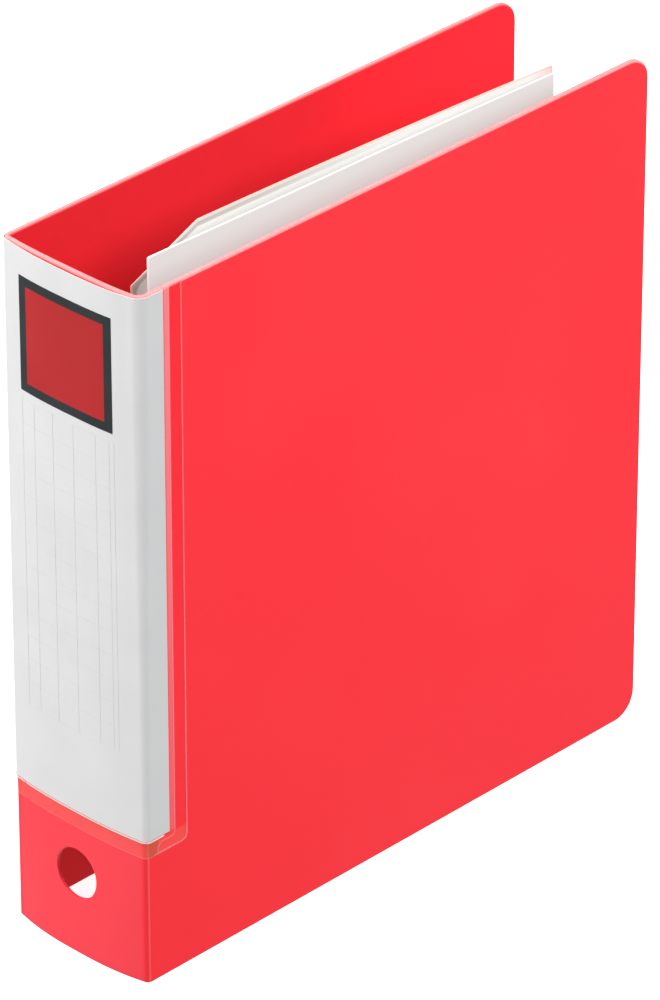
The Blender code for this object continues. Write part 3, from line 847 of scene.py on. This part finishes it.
def make_print():
    """A dark square frame round a red field, and the faint lines of the cells below it: embossed
    rules, drawn as flat grey lines whose grey is painted shade.
    """
    left = FRAME_CENTRE_X - FRAME_WIDTH / 2
    right = FRAME_CENTRE_X + FRAME_WIDTH / 2
    head = CARD_HEAD - FRAME_TOP_DROP
    foot = head - FRAME_HEIGHT
    field = (left + FRAME_BORDER, right - FRAME_BORDER, foot + FRAME_BORDER, head - FRAME_BORDER)
    sides = [(left, field[0], *field[2:]), (field[1], right, *field[2:])]
    bars_across = [(left, right, field[3], head), (left, right, foot, field[2])]
    printed("label_frame", bars_across + sides, "card_ink_dark")
    printed("label_field", [field], "card_ink_red")
    top = CARD_HEAD - GRID_TOP_DROP
    lowest = top - GRID_ROWS * GRID_ROW_HEIGHT
    half = GRID_LINE / 2
    lines = [(x - half, x + half, lowest, top) for x in GRID_COLUMNS]
    for row in range(GRID_ROWS + 1):
        z = top - row * GRID_ROW_HEIGHT
        lines.append((GRID_COLUMNS[0], GRID_COLUMNS[-1], z - half, z + half))
    # the rules' grey is painted shade of their relief
    for k, line in enumerate(lines):
        printed(f"label_rule_{k + 1:02d}", [line], "card_ink_grey")


# The pocket film over the card, and its welds. Weld lines are (distance on the cover, height).

OUTER_WELD = POCKET_WING - 0.0005
OUTER_WELD_TURN = 0.0030
OUTER_WELD_END = 0.0045
INNER_WELD = 0.0156
INNER_WELD_TURN = 0.0020
INNER_WELD_RUN = 0.0092
INNER_WELD_FOOT = 0.0060
INNER_WELD_LOW = CARD_FOOT - 0.0026
FILM_PAST_CARD = CARD_WING + 0.0004


def film_swell(up):
    """The film follows the card, and lies down on the spine below it."""
    share = ease((up - POCKET_FOOT) / (CARD_FOOT - POCKET_FOOT))
    return mix(cover_swell(up), card_swell(max(up, CARD_FOOT)), share)


def film_lift(across, up):
    """Clear of the card, and down on the cover at the outer and lower welds."""
    past_card = (abs(across) - wing(FILM_PAST_CARD)) / (wing(WELD_STEP) - wing(CARD_WING))
    below_card = (CARD_FOOT - up) / (CARD_FOOT - POCKET_FOOT) * 1.3
    return mix(FILM_LIFT, FILM_LIFT_WELDED, max(ease(past_card), ease(below_card)))


def film_place(across, up, side):
    return bent(across, up, film_lift(across, up) + FILM_THICKNESS * (1 - side), film_swell)


def film_limits(across):
    """The pocket's lower outer corners are rounded."""
    inward = cover_distance(across) - (POCKET_WING - OUTER_WELD_TURN)
    if inward <= 0:
        return POCKET_FOOT, POCKET_HEAD
    level = math.sqrt(max(0.0, OUTER_WELD_TURN**2 - inward**2))
    return POCKET_FOOT + OUTER_WELD_TURN - level, POCKET_HEAD


def make_film():
    stops = steps(FOLD_FOOT, FILM_PAST_CARD, 5)[1:] + steps(CARD_WING + 0.0008, WELD_STEP, 4)
    stops.append((WELD_STEP + POCKET_WING - OUTER_WELD_TURN) / 2)
    for share in steps(0.0, 1.0, 6):
        stops.append(POCKET_WING - OUTER_WELD_TURN * (1 - math.sin(QUARTER_TURN * share)))
    low = (CARD_FOOT - POCKET_FOOT) / (POCKET_HEAD - POCKET_FOOT) * 1.1
    shares = steps(0.0, low, 6) + steps(low, 1.0, 22)[1:]
    make_layer(
        "pocket_film", "pocket", stops, shares, film_limits, film_place,
        ["pocket_clear_film", "pocket_film_cut_edge"],
    )


def weld_bead(name, path, width, height, material, side):
    """A low rounded bead along (across, up) points on the film."""
    form = bmesh.new()
    flat_map = form.loops.layers.uv.new("flat")
    form.loops.layers.uv.new("rim")
    rings = []
    flat = {}
    points = [Vector((flat_length(across), up)) for across, up in path]
    for i, (across, up) in enumerate(path):
        run = points[min(i + 1, len(points) - 1)] - points[max(i - 1, 0)]
        run.normalize()
        cross = Vector((-run.y, run.x))
        ring = []
        for angle in steps(0.0, math.pi, 6):
            shift = cross * (math.cos(angle) * width / 2)
            there = across + shift.x / (DEPTH if abs(across) > 2 else HALF_WIDTH)
            rise = up + shift.y
            lift = film_lift(there, rise) + FILM_THICKNESS * 0.6 + height * math.sin(angle)
            vert = form.verts.new(bent(there, rise, lift, film_swell))
            flat[vert] = (flat_length(there), rise)
            ring.append(vert)
        rings.append(ring)
    skin(form, rings)
    for face in form.faces:
        for loop in face.loops:
            loop[flat_map].uv = flat[loop.vert]
    blend_at_fold(piece_from(name, form, [material]), side)


def weld_side(distance, low, radius):
    """Down beside the card, and round the lower outer quarter of a circle at its foot."""
    line = [(distance, z) for z in steps(POCKET_HEAD - 0.0002, low + radius, 20)[:-1]]
    for angle in steps(0.0, QUARTER_TURN, 6):
        inward = radius * (1 - math.cos(angle))
        line.append((distance - inward, low + radius - radius * math.sin(angle)))
    return line


def outer_weld_line():
    foot = POCKET_FOOT + 0.0004
    run = [(distance, foot) for distance in steps(0.016, OUTER_WELD_END, 4)]
    return weld_side(OUTER_WELD, foot, OUTER_WELD_TURN) + run


def inner_weld_line():
    """Down beside the card, round its corner, in under it and down to the pocket's foot."""
    line = weld_side(INNER_WELD, INNER_WELD_LOW, INNER_WELD_TURN)
    line.append((INNER_WELD_RUN + 0.002, INNER_WELD_LOW - 0.0001))
    drop = INNER_WELD_LOW - POCKET_FOOT - 0.0006
    bend = INNER_WELD_RUN - INNER_WELD_FOOT
    for angle in steps(0.0, QUARTER_TURN, 6):
        down = drop * (1 - math.cos(angle))
        line.append((INNER_WELD_RUN - bend * math.sin(angle), INNER_WELD_LOW - down))
    return line


def make_welds():
    over_front = [a for a in steps(-1.0, 1.0, 24) if a > SEAM]
    over_back = steps(-SEAM, 1.0, 24)
    for side, word, over_spine in ((1, "front", over_front), (-1, "back", over_back)):
        for label, line, width in (
            ("outer", outer_weld_line(), 0.0007), ("inner", inner_weld_line(), 0.0006)
        ):
            path = [(side * wing(distance), z) for distance, z in line]
            weld_bead(f"pocket_weld_{word}_{label}", path, width, 0.00018, "pocket_film_weld", side)
        foot_line = over_spine + steps(1.0, 2.0, 6)[1:]
        foot_line += flattened(steps(OUTER_WELD_END, INNER_WELD_RUN, 3))
        path = [(side * across, CARD_FOOT - 0.0004) for across in foot_line]
        # the foot bead's cream colour is a painted highlight
        weld_bead(f"pocket_weld_{word}_foot", path, 0.0007, 0.00020, "pocket_film_under_card", side)


# Solid helpers for the holes and the mechanism.

ALONG_X = (1, 0, 0)
ALONG_Z = (0, 0, 1)


def carve(piece, tool_form, operation="DIFFERENCE"):
    bmesh.ops.recalc_face_normals(tool_form, faces=tool_form.faces)
    mesh = bpy.data.meshes.new("tool")
    tool_form.to_mesh(mesh)
    tool_form.free()
    tool = bpy.data.objects.new("tool", mesh)
    bpy.context.collection.objects.link(tool)
    modifier = piece.modifiers.new("Cut", "BOOLEAN")
    modifier.operation = operation
    modifier.solver = "EXACT"
    modifier.object = tool
    bake_modifiers(piece)
    bpy.data.objects.remove(tool)


def add_prism(form, outline, sweep):
    low = [form.verts.new(point) for point in outline]
    high = [form.verts.new(point + sweep) for point in outline]
    form.faces.new(low)
    form.faces.new(list(reversed(high)))
    for i, corner in enumerate(low):
        after = (i + 1) % len(low)
        form.faces.new((corner, high[i], high[after], low[after]))


def prism(outline, sweep):
    form = bmesh.new()
    add_prism(form, outline, sweep)
    bmesh.ops.recalc_face_normals(form, faces=form.faces)
    return form


def block(low, high):
    size = high - low
    corners = ((0, 0), (1, 0), (1, 1), (0, 1))
    outline = [low + Vector((size.x * a, size.y * b, 0)) for a, b in corners]
    return prism(outline, Vector((0, 0, size.z)))


def add_bars(form, centres, axis, radius, length, segments=32):
    turn = Vector(ALONG_Z).rotation_difference(Vector(axis)).to_matrix().to_4x4()
    for centre in centres:
        bmesh.ops.create_cone(
            form, cap_ends=True, segments=segments, radius1=radius, radius2=radius,
            depth=length, matrix=Matrix.Translation(centre) @ turn,
        )
    return form


def bars(*form):
    return add_bars(bmesh.new(), *form)


def add_ring(form, centre, spoke, other, radius, segments):
    ring = []
    for k in range(segments):
        angle = 2 * math.pi * k / segments
        offset = spoke * math.cos(angle) + other * math.sin(angle)
        ring.append(form.verts.new(centre + offset * radius))
    return ring


def turned(base, axis, profile, segments=40):
    """A turned solid. The profile lists (distance along the axis, radius) from end to end."""
    form = bmesh.new()
    direction = Vector(axis)
    side = direction.orthogonal().normalized()
    other = direction.cross(side)
    rings = []
    for distance, radius in profile:
        centre = base + direction * distance
        rings.append(add_ring(form, centre, side, other, radius, segments))
    return skin(form, rings)


def wire(path, radius, segments, spokes=None):
    """A round wire. spokes gives a cross direction for each point, or it lies square to +Z."""
    form = bmesh.new()
    rings = []
    for i, point in enumerate(path):
        run = path[min(i + 1, len(path) - 1)] - path[max(i - 1, 0)]
        spoke = spokes[i] if spokes else run.cross(Vector(ALONG_Z)).normalized()
        other = run.cross(spoke).normalized()
        rings.append(add_ring(form, point, spoke, other, radius, segments))
    return skin(form, rings)


def middle_of(node):
    """A node's lowest and highest corners, and its centre."""
    low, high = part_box(node)
    return low, high, (low + high) / 2


# The leaves on the rings.

LEAF_CORNER = 0.0008
LEAF_HOLE_RADIUS = 0.003
PAPER_THICKNESS = 0.0006
PAPER_RIPPLE = 0.0003
LIFTER_THICKNESS = 0.0004
LIFTER_LEAN_POWER = 1.6
LIFTER_CUT_LENGTH = 0.0355
LIFTER_CUT_DROP = 0.0156


def leaf_columns(width, count):
    corner = LEAF_CORNER / width
    rounding = [corner * (1 - math.cos(angle)) for angle in steps(0.0, QUARTER_TURN, 4)]
    columns = rounding + steps(corner, 1 - corner, count)[1:-1]
    return close_to_ends(columns + [1 - a for a in reversed(rounding)], width)


def make_leaf(
    name, node, materials, thickness, start, cells, power=1.0, ripple=0.0, cut=(0.0, 0.0)
):
    """A leaf through the ring posts. It leans across its node's box by its width to a power, and
    its upper spine corner may be cut off by (length, drop)."""
    low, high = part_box(node)
    width = high.y - low.y
    lean = high.x - low.x - thickness
    cut_share, cut_drop = cut[0] / width, cut[1]

    def limits(across):
        from_edge = min(across, 1 - across) * width
        rise = 0.0
        if from_edge < LEAF_CORNER:
            inward = LEAF_CORNER - from_edge
            rise = LEAF_CORNER - math.sqrt(LEAF_CORNER**2 - min(inward, LEAF_CORNER) ** 2)
        drop = cut_drop * max(0.0, 1 - across / cut_share) if cut_drop else 0.0
        return low.z + rise, high.z - max(rise, drop)

    def curve(share, up):
        wave = ripple * math.sin(2.2 * math.pi * share) * (up / HEIGHT)
        return low.x + start + lean * share**power + wave

    def place(across, up, side):
        x = curve(across, up) + thickness * (0.5 - side)
        return Vector((x, low.y + width * across, up))

    def rim(across, up):
        foot, head = limits(across)
        return min(up - foot, head - up, across * width, (1 - across) * width)

    columns = leaf_columns(width, cells) + ([cut_share] if cut_drop else [])
    sheet = FlatSheet()
    sheet.grid(sorted(columns), close_to_ends(steps(0.0, 1.0, 12), high.z - low.z), limits)
    form = sheet.solid(place, lambda across: across * width, rim)
    piece = piece_from(name, form, materials)
    for word in ("lower", "upper"):
        centre = middle_of(f"post_{word}")[2]
        centre.x = curve((centre.y - low.y) / width, centre.z)
        carve(piece, bars([centre], ALONG_X, LEAF_HOLE_RADIUS, 0.01, 40))
    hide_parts(node)
    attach(piece, node)


def make_leaves():
    make_leaf(
        "index_leaf", "paper_leaf", ["leaf_paper_white", "leaf_paper_edge"],
        PAPER_THICKNESS, 0.0004, 20, ripple=PAPER_RIPPLE,
    )
    make_leaf(
        "lifter_leaf_film", "lifter_leaf", ["lifter_frosted_film", "lifter_film_edge"],
        LIFTER_THICKNESS, 0.00025, 24, power=LIFTER_LEAN_POWER,
        cut=(LIFTER_CUT_LENGTH, LIFTER_CUT_DROP),
    )


# The mechanism.

JOINTS = {joint["name"]: joint for joint in frame["joints"]}
RIVETS = [f"rivet_{end}_side" for end in ("lower_spine", "lower_fore", "upper_spine", "upper_fore")]
LEVER_LOW, LEVER_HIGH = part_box("lever")
LEVER_HALF = (LEVER_HIGH.z - LEVER_LOW.z) / 2
LEVER_GAP = 0.0003
GAUGE = 0.0012
PLATE_CORNER = 0.006
EAR_HALF_WIDTH = 0.0045
ARCH_EAR = 0.050
RIVET_HOLE = 0.0022
PIN_HOLE = 0.0018
ROLLER_HOLE = 0.0014
RING_WIRE = 0.002
CARRIER_RADIUS = 0.0035
TAB_TOP = 0.0087
TAB_HALF = 0.0055
SPRING_WIRE = 0.00045
SPRING_COIL = 0.0027
LEVER_END = 0.004
CHEEK_FOOT = 0.0109
CHEEK_END = 0.0295
WEB_END = 0.0370
STEEL_BEVEL = 0.00025


def at(reach, rise, along=0.0):
    """A point of the mechanism: from the spine, off the back cover, and up from mid-height."""
    return Vector((BACK_INNER + rise, SPINE_FACE + reach, MID_HEIGHT + along))


def reach_and_rise(joint):
    x, y = JOINTS[joint]["pos_m"][:2]
    return y - SPINE_FACE, x - BACK_INNER


def mechanism_piece(
    name, node, body, form, joined=None, cut=(), bevel=0.0, slot="plated_steel", material=None
):
    piece = piece_from(name, form, [material or slot])
    if joined:
        carve(piece, joined, "UNION")
    for tool in cut:
        carve(piece, tool)
    if bevel:
        soften_edges(piece, bevel)
    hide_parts(node)
    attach(piece, body)


def rounded_end(base_reach, foot_rise, axis_rise, along):
    """An ear's outline: straight sides and a round head over its pin."""
    outline = [at(base_reach - EAR_HALF_WIDTH, foot_rise, along)]
    for angle in steps(math.pi, 0.0, 12):
        reach = base_reach + EAR_HALF_WIDTH * math.cos(angle)
        outline.append(at(reach, axis_rise + EAR_HALF_WIDTH * math.sin(angle), along))
    outline.append(at(base_reach + EAR_HALF_WIDTH, foot_rise, along))
    return outline


def plate_outline(low, high):
    """The base plate's round-cornered outline, on the back cover."""
    outline = []
    corners = ((high.y, high.z), (low.y, high.z), (low.y, low.z), (high.y, low.z))
    for quarter, (y, z) in enumerate(corners):
        inward_y = -1 if quarter in (0, 3) else 1
        inward_z = -1 if quarter in (0, 1) else 1
        centre = Vector((low.x, y + inward_y * PLATE_CORNER, z + inward_z * PLATE_CORNER))
        for k in range(9):
            angle = QUARTER_TURN * (quarter + k / 8)
            outline.append(centre + Vector((0, math.cos(angle), math.sin(angle))) * PLATE_CORNER)
    return outline


def make_base_plate():
    low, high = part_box("base_plate")
    top = low.x - BACK_INNER + GAUGE
    ears = bmesh.new()
    pin_holes = []
    for joint, offset in (("arch_open", ARCH_EAR), ("lever_lift", LEVER_HALF + LEVER_GAP)):
        reach, rise = reach_and_rise(joint)
        for side in (-1, 1):
            along = min(side * offset, side * (offset + GAUGE))
            outline = rounded_end(reach, top - 0.0006, rise - 0.0005, along)
            add_prism(ears, outline, Vector((0, 0, GAUGE)))
            pin_holes.append(at(reach, rise, side * (offset + GAUGE / 2)))
    rivet_holes = [middle_of(node)[2] for node in RIVETS]
    for centre in rivet_holes:
        centre.x = low.x
    drills = bars(rivet_holes, ALONG_X, RIVET_HOLE, 0.006)
    add_bars(drills, pin_holes, ALONG_Z, PIN_HOLE, 0.004)
    plate = prism(plate_outline(low, high), Vector((GAUGE, 0, 0)))
    mechanism_piece(
        "mechanism_base_plate", "base_plate", "back_cover", plate, joined=ears, cut=[drills],
        bevel=0.00022,
    )


def counted_from(base, *stops):
    """A profile from (distance from the base, radius) stops."""
    return [(base + distance, radius) for distance, radius in stops]


def both_ends(low, high, *stops):
    """A profile with the same stops, (distance inwards, radius), at its low and high ends."""
    near = counted_from(low, *stops)
    return near + [(high - distance, radius) for distance, radius in reversed(stops)]


def make_rivets():
    """Tubular rivets: a domed head outside the back cover, a shank, and a rolled end inside."""
    for node in RIVETS:
        low, high, centre = middle_of(node)
        radius = (high.y - low.y) / 2
        shank = radius * 0.42
        head_top = -HALF_WIDTH - 0.0003
        inner = high.x - 0.0010
        profile = counted_from(
            low.x, (0.0004, 0.0004), (0.0003, shank * 0.7), (0.0002, shank * 0.95),
            (0.0, shank * 1.2), (0.0001, radius * 0.7), (0.0003, radius * 0.88),
        )
        profile += counted_from(head_top, (-0.0002, radius), (0.0, radius * 0.99), (0.0, shank))
        profile += counted_from(
            inner, (0.0, shank), (0.0, shank * 1.65), (0.0003, shank * 1.74),
            (0.0007, shank * 1.6), (0.0010, shank * 1.2), (0.0008, shank * 0.85),
            (-0.0002, shank * 0.7), (-0.0003, 0.0003),
        )
        form = turned(Vector((0, centre.y, centre.z)), ALONG_X, profile)
        mechanism_piece(f"{node}_turned", node, "back_cover", form)


def make_posts():
    """Each post has a collar on the base plate and a pointed tip."""
    for word in ("lower", "upper"):
        low, high, centre = middle_of(f"post_{word}")
        collar = (high.y - low.y) / 2
        profile = counted_from(
            low.x, (0.0, collar * 0.9), (0.0002, collar), (0.0010, collar),
            (0.0014, collar * 0.92), (0.0016, RING_WIRE * 1.15), (0.0022, RING_WIRE),
        )
        profile += counted_from(
            high.x, (-0.0024, RING_WIRE), (-0.0020, RING_WIRE * 0.93),
            (-0.0008, RING_WIRE * 0.66), (-0.0002, RING_WIRE * 0.45), (0.0, RING_WIRE * 0.25),
        )
        form = turned(Vector((0, centre.y, centre.z)), ALONG_X, profile)
        mechanism_piece(f"ring_post_{word}", f"post_{word}", "back_cover", form)


def make_arches():
    """Each arch is a straight leg on the carrier, and a bend down to its post's tip."""
    for word in ("lower", "upper"):
        low, high, centre = middle_of(f"arch_{word}")
        leg_y = low.y + RING_WIRE
        half_span = (high.y - RING_WIRE - leg_y) / 2
        post_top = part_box(f"post_{word}")[1].x
        crown = high.x - RING_WIRE - post_top
        path = [Vector((x, leg_y, centre.z)) for x in steps(low.x, post_top - 0.002, 10)]
        for angle in steps(math.pi, 0.0, 32):
            y = leg_y + half_span * (1 + math.cos(angle))
            path.append(Vector((post_top + crown * math.sin(angle), y, centre.z)))
        path[-1].x = post_top + 0.0003
        form = wire(path, RING_WIRE, 24)
        mechanism_piece(f"ring_arch_{word}", f"arch_{word}", "arches", form, bevel=0.0002)


def make_carrier():
    """The bar that both arches stand on, with the tab that the lever holds down."""
    reach, rise = reach_and_rise("arch_open")
    low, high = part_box("arch_carrier")
    half = (high.z - low.z) / 2
    tab = block(at(reach, TAB_TOP - GAUGE, -TAB_HALF), at(high.y - SPINE_FACE, TAB_TOP, TAB_HALF))
    bar = bars([at(reach, rise)], ALONG_Z, CARRIER_RADIUS, 2 * half, 48)
    drills = bars([at(reach, rise, side * half) for side in (-1, 1)], ALONG_Z, PIN_HOLE, 0.016)
    mechanism_piece(
        "mechanism_arch_carrier", "arch_carrier", "arches", bar, joined=tab, cut=[drills],
        bevel=STEEL_BEVEL,
    )


def make_pin(node, profile, body):
    centre = middle_of(node)[2]
    form = turned(Vector((centre.x, centre.y, 0)), ALONG_Z, profile, 32)
    mechanism_piece(f"{node}_turned", node, body, form)


def make_pins():
    for node, side in (("carrier_pin_lower", -1), ("carrier_pin_upper", 1)):
        low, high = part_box(node)
        near, far = (high.z, low.z) if side < 0 else (low.z, high.z)
        profile = counted_from(near, (0.0, 0.0010), (side * 0.0004, 0.0015))
        profile += counted_from(
            far, (-side * 0.0010, 0.0015), (-side * 0.0010, 0.0025), (-side * 0.0007, 0.0026),
            (-side * 0.0002, 0.0024), (0.0, 0.0018),
        )
        make_pin(node, profile, "back_cover")
    headed_pins = (("lever_pin", 0.0015, "back_cover"), ("roller_pin", 0.0011, "lever"))
    for node, radius, body in headed_pins:
        low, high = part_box(node)
        head = radius + 0.0008
        stops = ((0.0, head * 0.6), (0.0003, head * 0.92), (0.0008, head), (0.0009, radius))
        make_pin(node, both_ends(low.z, high.z, *stops), body)


def make_spring(turns=4, per_turn=28):
    """A coil round the upper carrier pin, whose end runs down to the base plate."""
    low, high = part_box("arch_spring")
    pitch = (high.z - low.z - 2 * SPRING_WIRE) / turns
    centre = at(*reach_and_rise("arch_open"))
    centre.z = low.z + SPRING_WIRE
    path = []
    spokes = []
    for k in range(turns * per_turn + 1):
        angle = 2 * math.pi * k / per_turn
        spoke = Vector((-math.sin(angle), math.cos(angle), 0))
        path.append(centre + spoke * SPRING_COIL + Vector((0, 0, pitch * k / per_turn)))
        spokes.append(spoke)
    coil_end = path[-1]
    for share in (0.33, 0.66, 1.0):
        path.append(coil_end + Vector((low.x + 0.0002 - centre.x, 0, 0)) * share)
        spokes.append(spoke)
    form = wire(path, SPRING_WIRE, 12, spokes)
    mechanism_piece("arch_spring_coil", "arch_spring", "back_cover", form)


def pressed(profile, half_width):
    """A solid with this outline of (reach, rise) points, centred on mid-height."""
    outline = [at(reach, rise, -half_width) for reach, rise in profile]
    return prism(outline, Vector((0, 0, 2 * half_width)))


def make_lever():
    """A pressed channel, round at its pin, with its web running on past its cheeks."""
    reach, rise = reach_and_rise("lever_lift")
    top = LEVER_HIGH.x - BACK_INNER
    web = top - GAUGE
    profile = []
    for degrees in range(110, 331, 20):
        angle = math.radians(degrees)
        profile.append((reach + LEVER_END * math.cos(angle), rise + LEVER_END * math.sin(angle)))
    profile += [(reach + LEVER_END, CHEEK_FOOT), (CHEEK_END - 0.0015, CHEEK_FOOT)]
    profile += [(CHEEK_END, CHEEK_FOOT + 0.0015), (CHEEK_END, web), (WEB_END, web), (WEB_END, top)]
    profile += [(reach + LEVER_END, top), (reach + 0.001, top - 0.0008)]
    hollow = block(at(0.0, 0.0, GAUGE - LEVER_HALF), at(0.045, web, LEVER_HALF - GAUGE))
    drills = bars([at(reach, rise)], ALONG_Z, PIN_HOLE, 0.02)
    add_bars(drills, [at(*reach_and_rise("roller_spin"))], ALONG_Z, ROLLER_HOLE, 0.02)
    mechanism_piece(
        "lever_channel", "lever", "lever", pressed(profile, LEVER_HALF), cut=[hollow, drills],
        bevel=STEEL_BEVEL,
    )


def make_grip():
    """A cap over the web's end, with ribs across its top."""
    low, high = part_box("lever_grip")
    near, far = low.y - SPINE_FACE, high.y - SPINE_FACE
    foot, top = low.x - BACK_INNER, high.x - BACK_INNER
    profile = [(near, foot), (far - 0.0025, foot), (far - 0.0008, foot + 0.0010)]
    profile += [(far, top - 0.0012), (far - 0.0008, top)]
    for k in range(4):
        rib = far - 0.0015 - k * (far - near) * 0.19
        profile += [(rib - 0.0004, top - 0.0005), (rib - 0.0012, top - 0.0005), (rib - 0.0016, top)]
    profile += [(near + 0.0012, top), (near, top - 0.0010)]
    web_top = LEVER_HIGH.x - BACK_INNER
    half_slot = LEVER_HALF + LEVER_GAP
    socket = block(
        at(0.020, web_top - 0.0015, -half_slot),
        at(WEB_END + LEVER_GAP, web_top + LEVER_GAP, half_slot),
    )
    mechanism_piece(
        "lever_grip_cap", "lever_grip", "lever", pressed(profile, (high.z - low.z) / 2),
        cut=[socket], bevel=0.0002, slot="grip_plastic", material="grip_black",
    )


def make_roller():
    low, high, centre = middle_of("roller")
    radius = (high.x - low.x) / 2
    profile = both_ends(low.z, high.z, (0.0, radius * 0.9), (0.0003, radius))
    mechanism_piece(
        "lever_roller", "roller", "roller",
        turned(Vector((centre.x, centre.y, 0)), ALONG_Z, profile),
        cut=[bars([centre], ALONG_Z, ROLLER_HOLE, 0.02)], slot="roller_nylon",
    )


# Stage.

CAMERA_AZIMUTH = math.radians(44.19)
CAMERA_ELEVATION = math.radians(30.28)
CAMERA_DISTANCE = 2.982
CAMERA_FOCAL_PIXELS = 7500.0
CAMERA_ASIDE = 0.00021
CAMERA_DOWN = 0.00577
FRAME_LONG_SIDE = 1000.0
SENSOR = 36.0
WORLD_STRENGTH = 0.42


def stage_object(name, data, place, facing):
    obj = bpy.data.objects.new(name, data)
    obj.location = place
    obj.rotation_mode = "QUATERNION"
    obj.rotation_quaternion = facing.to_track_quat("-Z", "Y")
    bpy.context.collection.objects.link(obj)
    return obj


def make_camera():
    a, e = CAMERA_AZIMUTH, CAMERA_ELEVATION
    back = Vector((math.sin(a) * math.cos(e), -math.cos(a) * math.cos(e), math.sin(e)))
    right = Vector((math.cos(a), math.sin(a), 0))
    up = back.cross(right)
    data = bpy.data.cameras.new("camera")
    data.sensor_width = SENSOR
    data.lens = CAMERA_FOCAL_PIXELS * SENSOR / FRAME_LONG_SIDE
    data.clip_start = 0.1
    data.clip_end = 50.0
    place = Vector((0, 0, MID_HEIGHT)) + back * CAMERA_DISTANCE
    place += right * CAMERA_ASIDE - up * CAMERA_DOWN
    bpy.context.scene.camera = stage_object("camera", data, place, -back)


def make_lamp(name, place, size, power):
    data = bpy.data.lights.new(name, "AREA")
    data.shape = "DISK"
    data.size = size
    data.energy = power
    stage_object(name, data, place, Vector((0, 0, MID_HEIGHT)) - Vector(place))


def make_world():
    """Even light from all round, seen as plain white behind the floor's edge."""
    world = bpy.data.worlds.new("studio")
    world.use_nodes = True
    tree = world.node_tree
    background = tree.nodes["Background"]
    background.inputs["Color"].default_value = (1.0, 1.0, 1.0, 1.0)
    seen = made_by(tree, "ShaderNodeLightPath", output="Is Camera Ray")
    put(background.inputs["Strength"], seen.ramp(0.0, 1.0, WORLD_STRENGTH, 1.0))
    bpy.context.scene.world = world


def make_floor():
    """A white floor that the camera sees, but that throws no light back at the file."""
    floor_data = bmesh.new()
    bmesh.ops.create_grid(floor_data, x_segments=1, y_segments=1, size=8.0)
    mesh = bpy.data.meshes.new("floor")
    floor_data.to_mesh(mesh)
    floor_data.free()
    surface(
        "floor_white", (0.84, 0.84, 0.84), (0.86, 0.86, 0.86), patch_scale=2.0,
        roughness=(0.6, 0.7), flat=False, Emission_Color=(1.0, 1.0, 1.0), Emission_Strength=0.85,
    )
    mesh.materials.append(SURFACES["floor_white"])
    floor = bpy.data.objects.new("floor", mesh)
    floor.location.z = -0.0002
    floor.visible_diffuse = False
    floor.visible_glossy = False
    bpy.context.collection.objects.link(floor)


def make_stage():
    make_camera()
    make_world()
    make_floor()
    make_lamp("side_lamp", (2.2, 0.7, 2.15), 2.0, 86.0)
    make_lamp("spine_lamp", (-1.1, -1.9, 1.6), 2.0, 70.0)
    make_lamp("top_lamp", (0.0, 0.0, 4.0), 1.5, 50.0)
    bpy.context.scene.view_settings.view_transform = "Standard"


def main():
    make_stage()
    make_materials()
    for make in (
        make_cover, make_card, make_print, make_film, make_welds, make_leaves, make_base_plate,
        make_rivets, make_posts, make_arches, make_carrier, make_pins, make_spring, make_lever,
        make_grip, make_roller,
    ):
        make()


main()
